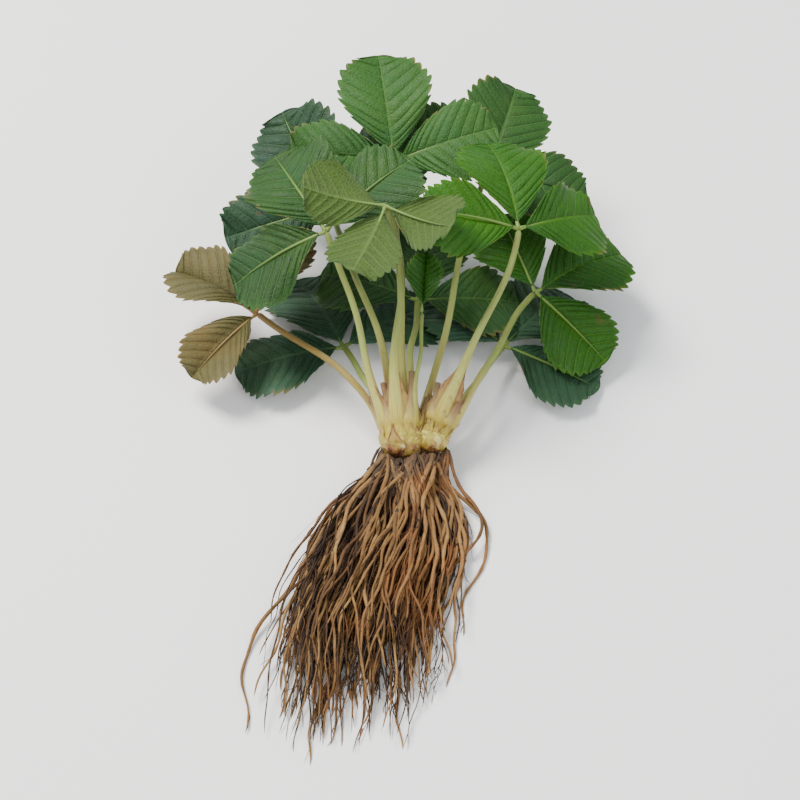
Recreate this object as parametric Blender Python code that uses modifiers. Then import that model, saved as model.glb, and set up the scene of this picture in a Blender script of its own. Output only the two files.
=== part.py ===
"""Bare-root strawberry plant lying on its side, in metres, +Z up, resting on z = 0.

A short crown with one side crown carries eleven long-stalked leaves of three leaflets each, a folded
young leaf and three papery stipules. A combed skirt of root bundles leaves the crown's other end.
The leaves point towards +Y and the roots towards -Y.
"""

import math
from typing import NamedTuple

import bmesh
import bpy
from mathutils import Matrix, Vector

UP = Vector((0.0, 0.0, 1.0))

# Crown: the short thick stem. Each growing point is a turned bulb on an axis that leans up from the floor.
CROWN_FOOT = Vector((0.0011, -0.0209, 0.0148))
BULB_PROFILE = (
    # (height along the axis, radius), from the pointed top down to the root end
    (0.0255, 0.0),
    (0.0246, 0.0018),
    (0.0212, 0.0038),
    (0.0178, 0.0060),
    (0.0143, 0.0086),
    (0.0108, 0.0103),
    (0.0068, 0.0107),
    (0.0028, 0.0094),
    (0.0003, 0.0066),
    (0.0, 0.0),
)
BULB_SIDES = 16

# Leaf blades
BLADE_THICKNESS = 0.0005
BLADE_ROWS = 8
BLADE_COLUMNS = 4
WIDEST_EXPONENTS = (0.96, 0.54)
HALF_WIDTH = 0.45
LEAFLET_FOOT = 0.0040
FOOT_HALF_WIDTH = 0.0008
SIDE_SPLAY = 78.0
SIDE_SIZE = 0.94
MIDDLE_CUP = 0.6  # of the side leaflets' cup
SIDE_TWISTS = (0.8, -0.6)  # of the middle leaflet's twist
FLOOR_SOFTNESS = 0.0010

# Stalks
STALK_BASE_RADIUS = 0.0033
STALK_TIP_RADIUS = 0.0018
STALK_FLARE_SHARE = 0.20
STALK_POINTS = 12
STALK_BEND = 0.36
STALK_SPREAD = 0.32  # how far an outer stalk sets off sideways

# Roots: locks combed side by side in lanes on the floor, with a second layer in the grooves between them
ROOT_RING = 0.0080
ROOT_BACK = 0.0014
LANE_START = 0.0028
LANE_NEAR = 0.0116
LANE_WIDENING = 0.014
LANE_OPEN = 0.024
ROOT_DROP = 0.040
ROOT_DRIFT = -0.17
ROOT_FILL = 0.41
ROOT_START_RADIUS = 0.0010
ROOT_SWELL = 0.062
ROOT_RADIUS = 0.0060
ROOT_TIP_RADIUS = 0.0016
ROOT_POINTS = 16
ROOT_GAP = 0.0011
ROOT_WAVE = 0.0030
ROOT_WAVE_LENGTH = 0.120

# Stipules
STIPULE_THICKNESS = 0.0006
STIPULE_GAP = 0.0009
STIPULE_SHARES = (0.015, 0.24)
STIPULE_ARC = 118.0
STIPULE_FLARE = 0.0028


class GrowingPoint(NamedTuple):
    """One bulb of the crown: where its foot is from the crown's, where its axis points, and its size."""

    offset: tuple
    turn: float
    lift: float
    size: float


class Leaf(NamedTuple):
    """One leaf. Its stalk runs from a seat on a growing point to the joint of its three leaflets."""

    grows_on: str
    seat: float  # degrees round the growing point, from the right, 90 on top
    ring: float  # distance from the growing point's axis
    joint: tuple  # from the crown's foot
    turn: float  # heading of the middle leaflet, degrees from +Y towards +X
    lift: float  # and above the floor
    roll: float  # how far the upper side leans to the right
    size: float  # length of the middle leaflet
    fold: float  # how far each half is raised about the midrib, degrees
    droop: float  # how far the tip curves down, degrees
    cup: float  # how far the side leaflets rise from the joint, degrees
    twist: float  # how far the middle leaflet turns about its midrib, degrees
    colour: str


class RootBundle(NamedTuple):
    """One lock of roots. The lanes are counted from the middle, halves lie in the grooves."""

    lane: float
    length: float
    upper: bool


GROWING_POINTS = {
    "main": GrowingPoint((0.0, 0.0, 0.0), -2.0, 24.0, 1.0),
    "side": GrowingPoint((0.0125, 0.0040, 0.0010), 24.0, 26.0, 0.74),
}

OUTER, INNER = 0.0095, 0.0040

LEAVES = {
    "leaf_01": Leaf("main", 238, OUTER, (-0.030, 0.078, -0.005), -24, -4, 0, 0.056, 8, 14, 0, 0, "shade"),
    "leaf_02": Leaf("main", 192, OUTER, (-0.074, 0.084, 0.014), -58, 10, -16, 0.046, 50, 30, 10, 10, "old"),
    "leaf_03": Leaf("side", 300, 0.0066, (0.052, 0.076, -0.002), 36, -4, 2, 0.052, 10, 14, 0, 0, "shade"),
    "leaf_04": Leaf("main", 150, OUTER, (-0.038, 0.094, 0.064), -30, 10, -26, 0.056, 14, 34, 6, 8, "mature"),
    "leaf_05": Leaf("main", 104, OUTER, (-0.008, 0.088, 0.088), -160, -20, 180, 0.042, 14, 34, -8, 0, "pale"),
    "leaf_06": Leaf("side", 80, 0.0066, (0.058, 0.092, 0.068), -14, 14, 22, 0.052, 16, 30, 8, -10, "young"),
    "leaf_07": Leaf("main", 330, INNER, (0.008, 0.100, 0.006), 8, 8, 4, 0.052, 14, 18, 2, 4, "mature"),
    "leaf_08": Leaf("main", 210, INNER, (-0.038, 0.146, 0.026), -30, 24, -20, 0.056, 18, 26, 8, -8, "shade"),
    "leaf_09": Leaf("main", 90, INNER, (-0.004, 0.146, 0.060), -8, 30, -8, 0.054, 16, 26, 12, 8, "mature"),
    "leaf_10": Leaf("main", 340, OUTER, (0.042, 0.152, 0.042), 20, 14, 18, 0.054, 18, 26, 14, 6, "mature"),
    "leaf_11": Leaf("side", 0, 0.0066, (0.068, 0.098, 0.014), 58, 6, 14, 0.050, 18, 26, 4, -8, "young"),
}

YOUNG_LEAF = Leaf("main", 56, OUTER, (0.010, 0.056, 0.046), 6, 52, 0, 0.026, 70, 6, 0, 0, "young")

ROOTS = {
    "root_bundle_01": RootBundle(-2.5, 0.150, False),
    "root_bundle_02": RootBundle(-1.5, 0.160, False),
    "root_bundle_03": RootBundle(-0.5, 0.164, False),
    "root_bundle_04": RootBundle(0.5, 0.154, False),
    "root_bundle_05": RootBundle(1.5, 0.160, False),
    "root_bundle_06": RootBundle(2.5, 0.136, False),
    "root_bundle_07": RootBundle(-2.0, 0.150, True),
    "root_bundle_08": RootBundle(-1.0, 0.158, True),
    "root_bundle_09": RootBundle(0.0, 0.150, True),
    "root_bundle_10": RootBundle(1.0, 0.142, True),
}

STIPULES = {
    # name: (the leaf whose stalk it sheathes, length as a share of the usual)
    "stipule_left": ("leaf_04", 0.9),
    "stipule_middle": ("leaf_05", 0.75),
    "stipule_right": ("leaf_06", 1.0),
}

COLOURS = {
    "crown": (0.80, 0.74, 0.42),
    "stipule": (0.45, 0.26, 0.15),
    "stalk": (0.42, 0.55, 0.16),
    "old_stalk": (0.45, 0.28, 0.10),
    "root": (0.40, 0.22, 0.08),
    "shade": (0.045, 0.14, 0.075),
    "mature": (0.07, 0.22, 0.07),
    "pale": (0.26, 0.40, 0.20),
    "young": (0.13, 0.36, 0.03),
    "old": (0.22, 0.26, 0.13),
}
ROUGHNESS = 0.6


def direction(turn, lift):
    """Unit vector, turned from +Y towards +X and lifted from the floor, in degrees."""
    t, l = math.radians(turn), math.radians(lift)
    return Vector((math.sin(t) * math.cos(l), math.cos(t) * math.cos(l), math.sin(l)))


def clear_scene():
    for obj in list(bpy.data.objects):
        bpy.data.objects.remove(obj)


def make_materials():
    made = {}
    for name, colour in COLOURS.items():
        material = bpy.data.materials.new(name)
        material.use_nodes = True
        shader = material.node_tree.nodes["Principled BSDF"]
        shader.inputs["Base Color"].default_value = (*colour, 1.0)
        shader.inputs["Roughness"].default_value = ROUGHNESS
        shader.inputs["Metallic"].default_value = 0.0
        made[name] = material
    return made


def add_object(name, data, collection, parent=None, matrix=None):
    """Links a new object and places it in the world, whatever its parent."""
    obj = bpy.data.objects.new(name, data)
    collection.objects.link(obj)
    if parent:
        obj.parent = parent
        obj.matrix_parent_inverse = parent.matrix_world.inverted()
    if matrix:
        obj.matrix_world = matrix
    bpy.context.view_layer.update()
    return obj


def smooth(mesh, angle=50.0):
    mesh.shade_smooth()
    mesh.set_sharp_from_angle(angle=math.radians(angle))


# Crown


def growing_axes(point):
    """(foot, axis, right, over) of a growing point."""
    axis = direction(point.turn, point.lift)
    right = axis.cross(UP).normalized()
    return CROWN_FOOT + Vector(point.offset), axis, right, right.cross(axis)


def outward(point, seat):
    """Unit vector away from the growing point's axis, seat degrees round it."""
    _, _, right, over = growing_axes(point)
    return right * math.cos(math.radians(seat)) + over * math.sin(math.radians(seat))


def make_bulb(name, point, collection, parent):
    mesh = bpy.data.meshes.new(name)
    profile = [(radius * point.size, 0.0, height * point.size) for height, radius in BULB_PROFILE]
    mesh.from_pydata(profile, [(i, i + 1) for i in range(len(profile) - 1)], [])
    foot, axis, _, _ = growing_axes(point)
    matrix = Matrix.Translation(foot) @ axis.to_track_quat("Z", "Y").to_matrix().to_4x4()
    bulb = add_object(name, mesh, collection, parent, matrix)
    screw = bulb.modifiers.new("turn", "SCREW")
    screw.steps = screw.render_steps = BULB_SIDES
    screw.use_merge_vertices = True
    screw.merge_threshold = 0.00005
    return bulb


def make_crown(collection, helpers, parent, materials):
    crown = make_bulb("crown", GROWING_POINTS["main"], collection, parent)
    crown.data.materials.append(materials["crown"])
    side = make_bulb("side_crown_shape", GROWING_POINTS["side"], helpers, parent)
    side.hide_render = True
    side.display_type = "WIRE"
    join = crown.modifiers.new("side crown", "BOOLEAN")
    join.operation = "UNION"
    join.object = side


# Stalks


def bezier(points, t):
    a, b, c, d = points
    return a * (1 - t) ** 3 + b * (3 * t * (1 - t) ** 2) + c * (3 * t * t * (1 - t)) + d * t**3


def stalk_frame(leaf):
    """The four control points of a leaf's stalk."""
    point = GROWING_POINTS[leaf.grows_on]
    foot, axis, _, _ = growing_axes(point)
    out = outward(point, leaf.seat)
    height = 0.0340 - 0.0165 * leaf.ring / OUTER
    base = foot + axis * height * point.size + out * leaf.ring
    joint = CROWN_FOOT + Vector(leaf.joint)
    start = (axis + out * STALK_SPREAD * leaf.ring / OUTER).normalized()
    span = joint - base
    arrival = (span.normalized() * 0.65 + direction(leaf.turn, leaf.lift) * 0.35).normalized()
    reach = span.length * STALK_BEND
    return base, base + start * reach, joint - arrival * reach, joint


def stalk_radius(t):
    return STALK_TIP_RADIUS + (STALK_BASE_RADIUS - STALK_TIP_RADIUS) * math.exp(-t / STALK_FLARE_SHARE)


def make_tube(name, points, radii, sides_resolution, material, collection, parent):
    """A tube through points with a radius at each, as a curve with a bevel and filled caps."""
    curve = bpy.data.curves.new(name, "CURVE")
    curve.dimensions = "3D"
    curve.use_fill_caps = True
    curve.bevel_depth = max(radii)
    curve.bevel_resolution = sides_resolution
    spline = curve.splines.new("POLY")
    spline.points.add(len(points) - 1)
    origin = points[0]
    for place, at, radius in zip(spline.points, points, radii):
        place.co = (*(at - origin), 1.0)
        place.radius = radius / curve.bevel_depth
    curve.materials.append(material)
    return add_object(name, curve, collection, parent, Matrix.Translation(origin))


def make_stalk(name, leaf, material, collection, parent):
    control = stalk_frame(leaf)
    shares = [i / (STALK_POINTS - 1) for i in range(STALK_POINTS)]
    radii = [stalk_radius(t) for t in shares]
    points = [bezier(control, t) for t in shares]
    for at, radius in zip(points, radii):
        at.z = max(at.z, radius + 0.0001)
    return make_tube(name, points, radii, 1, material, collection, parent)


# Leaflets


def outline(share, half_width):
    """Half the width of a blade at a share of its length: wedge-shaped base, rounded tip."""
    a, b = WIDEST_EXPONENTS
    top = a / (a + b)
    peak = top**a * (1 - top) ** b
    return half_width * share**a * (1 - share) ** b / peak


def bend(x, y, length, half_width, fold, droop, curl):
    """Where a point of the flat blade goes: x along it, y to its left. Folded about the midrib and drooping."""
    angle = droop * x / length
    along = Vector((math.sin(angle), 0.0, math.cos(angle) - 1.0)) * (length / droop)
    across = abs(y)
    rate = curl / (half_width * length)
    side = (math.sin(fold) - math.sin(fold - rate * across)) / rate
    rise = (math.cos(fold - rate * across) - math.cos(fold)) / rate
    normal = Vector((math.sin(angle), 0.0, math.cos(angle)))
    return along + Vector((0.0, math.copysign(side, y), 0.0)) + normal * rise


def press_on_floor(at):
    """Keeps a point above the floor, with a soft start."""
    z = at.z - BLADE_THICKNESS
    lifted = 0.5 * (z + math.hypot(z, FLOOR_SOFTNESS)) + BLADE_THICKNESS
    return Vector((at.x, at.y, lifted))


def blade_matrix(leaf):
    """The blade's frame at the joint: x along the heading, y to the left, z out of the upper side."""
    heading = direction(leaf.turn, leaf.lift)
    left = UP.cross(heading).normalized()
    frame = Matrix((heading, left, heading.cross(left))).transposed().to_4x4()
    turn = Matrix.Rotation(math.radians(leaf.roll), 4, heading)
    return Matrix.Translation(CROWN_FOOT + Vector(leaf.joint)) @ turn @ frame


def leaflet_plan(leaf):
    """{name: (splay, cup and twist in degrees, length, left and right half widths)} of the three leaflets."""
    size, side_size = leaf.size, leaf.size * SIDE_SIZE
    wide, narrow = HALF_WIDTH * 1.08, HALF_WIDTH * 0.84
    left_twist, right_twist = (share * leaf.twist for share in SIDE_TWISTS)
    return {
        "middle": (0.0, leaf.cup * MIDDLE_CUP, leaf.twist, size, HALF_WIDTH, HALF_WIDTH),
        "left": (SIDE_SPLAY, leaf.cup, left_twist, side_size, wide, narrow),
        "right": (-SIDE_SPLAY, leaf.cup, right_twist, side_size, narrow, wide),
    }


def leaflet_matrix(leaf, splay, cup, twist):
    """The frame of one leaflet, at its own foot."""
    swing = Matrix.Rotation(math.radians(splay), 4, "Z") @ Matrix.Rotation(math.radians(-cup), 4, "Y")
    swing = swing @ Matrix.Rotation(math.radians(twist), 4, "X")
    return blade_matrix(leaf) @ swing @ Matrix.Translation((LEAFLET_FOOT, 0.0, 0.0))


def make_leaflet(name, leaf, matrix, length, widths, material, collection, parent):
    mesh = bpy.data.meshes.new(name)
    grid = bmesh.new()
    bmesh.ops.create_grid(grid, x_segments=BLADE_ROWS, y_segments=BLADE_COLUMNS, size=1.0)
    back = matrix.inverted()
    fold, droop = math.radians(leaf.fold), math.radians(leaf.droop)
    curl = fold * 0.9 + 0.15
    for vertex in grid.verts:
        share = min(math.sin(math.pi / 4 * (vertex.co.x + 1)) ** 2, 0.996)
        half_width = widths[0] if vertex.co.y > 0 else widths[1]
        y = vertex.co.y * max(outline(share, half_width) * length, FOOT_HALF_WIDTH)
        at = bend(share * length, y, length, half_width, fold, droop, curl)
        vertex.co = back @ press_on_floor(matrix @ at)
    grid.to_mesh(mesh)
    grid.free()
    smooth(mesh)
    mesh.materials.append(material)
    leaflet = add_object(name, mesh, collection, parent, matrix)
    shell = leaflet.modifiers.new("thickness", "SOLIDIFY")
    shell.thickness = BLADE_THICKNESS
    shell.offset = 0.0
    return leaflet


def make_leaf(name, leaf, collection, parent, materials):
    joint = bpy.data.objects.new(name + "_joint", None)
    collection.objects.link(joint)
    joint.parent = parent
    joint.matrix_world = blade_matrix(leaf)
    bpy.context.view_layer.update()
    for part, (splay, cup, twist, length, *widths) in leaflet_plan(leaf).items():
        matrix = leaflet_matrix(leaf, splay, cup, twist)
        make_leaflet(
            f"{name}_{part}_leaflet", leaf, matrix, length, widths, materials[leaf.colour], collection, joint
        )
    stalk_material = materials["old_stalk" if leaf.colour == "old" else "stalk"]
    make_stalk(name + "_stalk", leaf, stalk_material, collection, parent)


def make_young_leaf(collection, parent, materials):
    leaf = YOUNG_LEAF
    matrix = leaflet_matrix(leaf, 0.0, 0.0, 0.0)
    widths = (HALF_WIDTH, HALF_WIDTH)
    make_leaflet("young_leaf_blade", leaf, matrix, leaf.size, widths, materials["young"], collection, parent)
    make_stalk("young_leaf_stalk", leaf, materials["stalk"], collection, parent)


# Stipules


def make_stipule(name, leaf, reach, material, collection, parent):
    """A papery sheath hugging the outer side of a stalk's foot, with a free point that stands off."""
    control = stalk_frame(leaf)
    away = outward(GROWING_POINTS[leaf.grows_on], leaf.seat)
    first, last = STIPULE_SHARES
    mesh = bpy.data.meshes.new(name)
    grid = bmesh.new()
    bmesh.ops.create_grid(grid, x_segments=7, y_segments=5, size=1.0)
    for vertex in grid.verts:
        share = (vertex.co.x + 1) / 2
        t = first + (last - first) * reach * share
        along = (bezier(control, t + 0.01) - bezier(control, t)).normalized()
        out = (away - along * away.dot(along)).normalized()
        swing = Matrix.Rotation(math.radians(vertex.co.y * STIPULE_ARC / 2 * (1.0 - 0.8 * share**2)), 3, along)
        radius = stalk_radius(t) + STIPULE_GAP + STIPULE_FLARE * share**3
        vertex.co = bezier(control, t) + swing @ out * radius - control[0]
    grid.to_mesh(mesh)
    grid.free()
    smooth(mesh)
    mesh.materials.append(material)
    stipule = add_object(name, mesh, collection, parent, Matrix.Translation(control[0]))
    shell = stipule.modifiers.new("thickness", "SOLIDIFY")
    shell.thickness = STIPULE_THICKNESS
    shell.offset = 0.0
    return stipule


# Roots


def smoothstep(share):
    share = max(0.0, min(1.0, share))
    return share * share * (3 - 2 * share)


def lane_spacing(distance):
    """Sideways distance between two lanes: they open at the crown and then widen slowly."""
    opened = LANE_START + (LANE_NEAR - LANE_START) * smoothstep(distance / LANE_OPEN)
    return opened + LANE_WIDENING * max(0.0, distance - LANE_OPEN)


def bundle_radius(distance, length):
    """Fills its lane, up to a limit, and tapers to the tips."""
    full = min(ROOT_FILL * lane_spacing(distance), ROOT_START_RADIUS + ROOT_SWELL * distance, ROOT_RADIUS)
    taper = min(1.0, max(0.0, 1.0 - distance / length) / 0.35) ** 0.7
    return min(full, ROOT_TIP_RADIUS + (full - ROOT_TIP_RADIUS) * taper)


def resting_height(bundle, distance):
    """Height of a bundle's centre: on the floor, or in the groove between two lower ones."""
    radius = bundle_radius(distance, bundle.length)
    if not bundle.upper:
        return radius
    longest = max(other.length for other in ROOTS.values())
    below = bundle_radius(distance, longest)
    reach = radius + below + ROOT_GAP
    half = lane_spacing(distance) / 2
    return max(radius, below + math.sqrt(max(reach**2 - half**2, 0.0)))


def root_start(bundle):
    """Where a bundle leaves the crown's root end."""
    foot, axis, _, over = growing_axes(GROWING_POINTS["main"])
    rise = math.sqrt(ROOT_RING**2 - (bundle.lane * LANE_START) ** 2)
    return foot - axis * ROOT_BACK + over * (rise if bundle.upper else -rise)


def bundle_centre(bundle, distance):
    """Point of a bundle's middle line, a distance towards -Y from the crown's foot."""
    start = root_start(bundle)
    settled = smoothstep(distance / ROOT_DROP)
    sideways = bundle.lane * lane_spacing(distance) + ROOT_DRIFT * distance
    sideways += ROOT_WAVE * math.sin(2 * math.pi * distance / ROOT_WAVE_LENGTH) * settled
    height = start.z + (resting_height(bundle, distance) - start.z) * settled
    return Vector((CROWN_FOOT.x + sideways, CROWN_FOOT.y - distance, height))


def make_root_bundle(name, bundle, material, collection, parent):
    first = CROWN_FOOT.y - root_start(bundle).y
    distances = [first + (bundle.length - first) * i / (ROOT_POINTS - 1) for i in range(ROOT_POINTS)]
    points = [bundle_centre(bundle, distance) for distance in distances]
    radii = [bundle_radius(distance, bundle.length) for distance in distances]
    return make_tube(name, points, radii, 2, material, collection, parent)


def main():
    clear_scene()
    scene = bpy.context.scene
    plant = bpy.data.collections.new("strawberry_plant")
    helpers = bpy.data.collections.new("helpers")
    scene.collection.children.link(plant)
    scene.collection.children.link(helpers)
    materials = make_materials()
    root = bpy.data.objects.new("plant_origin", None)
    plant.objects.link(root)
    make_crown(plant, helpers, root, materials)
    for name, leaf in LEAVES.items():
        make_leaf(name, leaf, plant, root, materials)
    make_young_leaf(plant, root, materials)
    for name, (leaf, reach) in STIPULES.items():
        make_stipule(name, LEAVES[leaf], reach, materials["stipule"], plant, root)
    for name, bundle in ROOTS.items():
        make_root_bundle(name, bundle, materials["root"], plant, root)


main()
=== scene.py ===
# Bare-root strawberry plant lying on its side: toothed and veined leaves, ribbed stalks,
# a wrapped crown, papery sheaths and a combed skirt of single roots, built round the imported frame.
import math
import random

import bmesh
import bpy
import numpy as np
from mathutils import Matrix, Vector


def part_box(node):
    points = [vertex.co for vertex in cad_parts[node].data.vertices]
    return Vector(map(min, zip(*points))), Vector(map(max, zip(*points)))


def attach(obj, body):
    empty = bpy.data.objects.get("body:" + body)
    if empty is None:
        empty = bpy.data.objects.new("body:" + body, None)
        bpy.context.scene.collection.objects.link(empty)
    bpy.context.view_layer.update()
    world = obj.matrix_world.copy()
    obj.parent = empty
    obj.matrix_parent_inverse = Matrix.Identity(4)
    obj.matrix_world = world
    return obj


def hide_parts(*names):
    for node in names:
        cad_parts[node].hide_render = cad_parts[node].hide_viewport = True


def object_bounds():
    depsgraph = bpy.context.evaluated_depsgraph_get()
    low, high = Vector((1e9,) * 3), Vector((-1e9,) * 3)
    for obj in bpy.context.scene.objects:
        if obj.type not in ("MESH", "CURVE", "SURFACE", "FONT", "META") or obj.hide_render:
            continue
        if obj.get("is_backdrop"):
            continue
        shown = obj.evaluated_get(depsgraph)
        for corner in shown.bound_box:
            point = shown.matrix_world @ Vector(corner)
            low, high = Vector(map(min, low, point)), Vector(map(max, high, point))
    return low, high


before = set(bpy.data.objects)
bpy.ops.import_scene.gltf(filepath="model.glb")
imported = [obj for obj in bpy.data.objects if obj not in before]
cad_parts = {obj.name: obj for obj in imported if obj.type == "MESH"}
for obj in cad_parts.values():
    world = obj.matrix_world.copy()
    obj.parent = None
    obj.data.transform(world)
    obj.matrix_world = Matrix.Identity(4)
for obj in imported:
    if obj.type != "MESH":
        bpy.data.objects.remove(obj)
cadLow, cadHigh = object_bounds()
bpy.ops.object.select_all(action="DESELECT")
print("frame loaded,", len(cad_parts), "nodes")


# ---- the plan of the plant, in metres and degrees

plan = {
    "footInCrownBox": (0.01091, 0.00241, 0.00745),  # the crown's root end, from its box's low corner
    "bulb": (  # height along the axis and radius there, slimmer at the root end than the frame's
        (0.0, 0.0),
        (0.0003, 0.0050),
        (0.0028, 0.0082),
        (0.0068, 0.0103),
        (0.0108, 0.0103),
        (0.0143, 0.0086),
        (0.0178, 0.0060),
        (0.0212, 0.0038),
        (0.0246, 0.0018),
        (0.0255, 0.0),
    ),
    "outer": 0.0095,  # the rings that the stalks stand on
    "inner": 0.0040,
    "sideRing": 0.0066,
    "seatHeight": 0.0340,  # where a stalk on the axis would leave the crown
    "seatFall": 0.0165,  # and how much lower one on the outer ring does
    "stalkBend": 0.36,
    "stalkSpread": 0.32,
    "arrival": 0.35,  # how far a stalk's end turns towards its leaf's heading
    "leafletFoot": 0.0040,  # each leaflet's own short stalk
    "sideSplay": 78.0,  # between the middle leaflet and a side one
    "sideSize": 0.94,
    "sideTwists": (0.8, -0.6),
    "middleCup": 0.6,
    "halfWidth": 0.45,  # of a blade, of its length
    "lopsided": (1.08, 0.84),  # the outer and inner halves of a side leaflet
    "widest": (0.96, 0.54),  # powers of the outline, towards its foot and towards its tip
}

growingPoints = {  # place from the crown's foot, turn, lift, size
    "main": ((0.0, 0.0, 0.0), -2.0, 24.0, 1.0),
    "side": ((0.0125, 0.0040, 0.0010), 24.0, 26.0, 0.74),
}

leafKeys = "growsOn seat ring joint turn lift roll size fold droop cup twist colour".split()
leaves = {
    "leaf_01": ("main", 238, "outer", (-0.030, 0.078, -0.005), -24, -4, 0, 0.056, 8, 14, 0, 0, "shade"),
    "leaf_02": ("main", 192, "outer", (-0.074, 0.084, 0.014), -58, 10, -16, 0.046, 50, 30, 10, 10, "old"),
    "leaf_03": ("side", 300, "sideRing", (0.052, 0.076, -0.002), 36, -4, 2, 0.052, 10, 14, 0, 0, "shade"),
    "leaf_04": ("main", 150, "outer", (-0.038, 0.094, 0.064), -30, 10, -26, 0.056, 14, 34, 6, 8, "mature"),
    "leaf_05": ("main", 104, "outer", (-0.008, 0.088, 0.088), -160, -20, 180, 0.042, 14, 34, -8, 0, "pale"),
    "leaf_06": ("side", 80, "sideRing", (0.058, 0.092, 0.068), -14, 14, 22, 0.052, 16, 30, 8, -10, "young"),
    "leaf_07": ("main", 330, "inner", (0.008, 0.100, 0.006), 8, 8, 4, 0.052, 14, 18, 2, 4, "mature"),
    "leaf_08": ("main", 210, "inner", (-0.038, 0.146, 0.026), -30, 24, -20, 0.056, 18, 26, 8, -8, "shade"),
    "leaf_09": ("main", 90, "inner", (-0.004, 0.146, 0.060), -8, 30, -8, 0.054, 16, 26, 12, 8, "mature"),
    "leaf_10": ("main", 340, "outer", (0.042, 0.152, 0.042), 20, 14, 18, 0.054, 18, 26, 14, 6, "mature"),
    "leaf_11": ("side", 0, "sideRing", (0.068, 0.098, 0.014), 58, 6, 14, 0.050, 18, 26, 4, -8, "young"),
    "young_leaf": ("main", 56, "outer", (0.010, 0.056, 0.046), 6, 52, 0, 0.026, 70, 6, 0, 0, "young"),
}
leaves = {name: dict(zip(leafKeys, values), name=name) for name, values in leaves.items()}

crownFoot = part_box("crown")[0] + Vector(plan["footInCrownBox"])
up = Vector((0.0, 0.0, 1.0))


def direction(turn, lift):
    # unit vector, turned from +Y towards +X and lifted from the floor
    turned, lifted = math.radians(turn), math.radians(lift)
    flat = math.cos(lifted)
    return Vector((math.sin(turned) * flat, math.cos(turned) * flat, math.sin(lifted)))


def growingAxes(which):
    # a growing point's foot, its axis, the two directions square to it, and its size
    place, turn, lift, size = growingPoints[which]
    axis = direction(turn, lift)
    right = axis.cross(up).normalized()
    return crownFoot + Vector(place), axis, right, right.cross(axis), size


def outward(which, seat):
    # away from the axis, at a seat round it
    _, _, right, over, _ = growingAxes(which)
    return right * math.cos(math.radians(seat)) + over * math.sin(math.radians(seat))


def bulbRadius(height):
    heights, radii = zip(*plan["bulb"])
    return float(np.interp(height, heights, radii))


def aroundAxis(which, height, radius, angle):
    # points at a height along a growing point's axis, and at a radius and angle round it
    foot, axis, right, over, _ = growingAxes(which)
    places = np.array(foot) + np.outer(height, np.array(axis))
    places = places + np.outer(np.cos(angle) * radius, np.array(right))
    return places + np.outer(np.sin(angle) * radius, np.array(over))


def smoothstep(share):
    share = np.clip(share, 0.0, 1.0)
    return share * share * (3 - 2 * share)


# ---- finishes

class Wire:
    # a node's output that can be added, multiplied and so on like a number
    def __init__(self, paint, socket):
        self.paint = paint
        self.socket = socket

    def maths(self, operation, first, second):
        return self.paint.node("ShaderNodeMath", {"operation": operation}, {0: first, 1: second})

    def __add__(self, other):
        return self.maths("ADD", self, other)

    def __sub__(self, other):
        return self.maths("SUBTRACT", self, other)

    def __rsub__(self, other):
        return self.maths("SUBTRACT", other, self)

    def __mul__(self, other):
        return self.maths("MULTIPLY", self, other)

    def __truediv__(self, other):
        return self.maths("DIVIDE", self, other)

    def __rtruediv__(self, other):
        return self.maths("DIVIDE", other, self)

    def __abs__(self):
        return self.paint.node("ShaderNodeMath", {"operation": "ABSOLUTE"}, {0: self})

    __radd__ = __add__
    __rmul__ = __mul__


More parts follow.
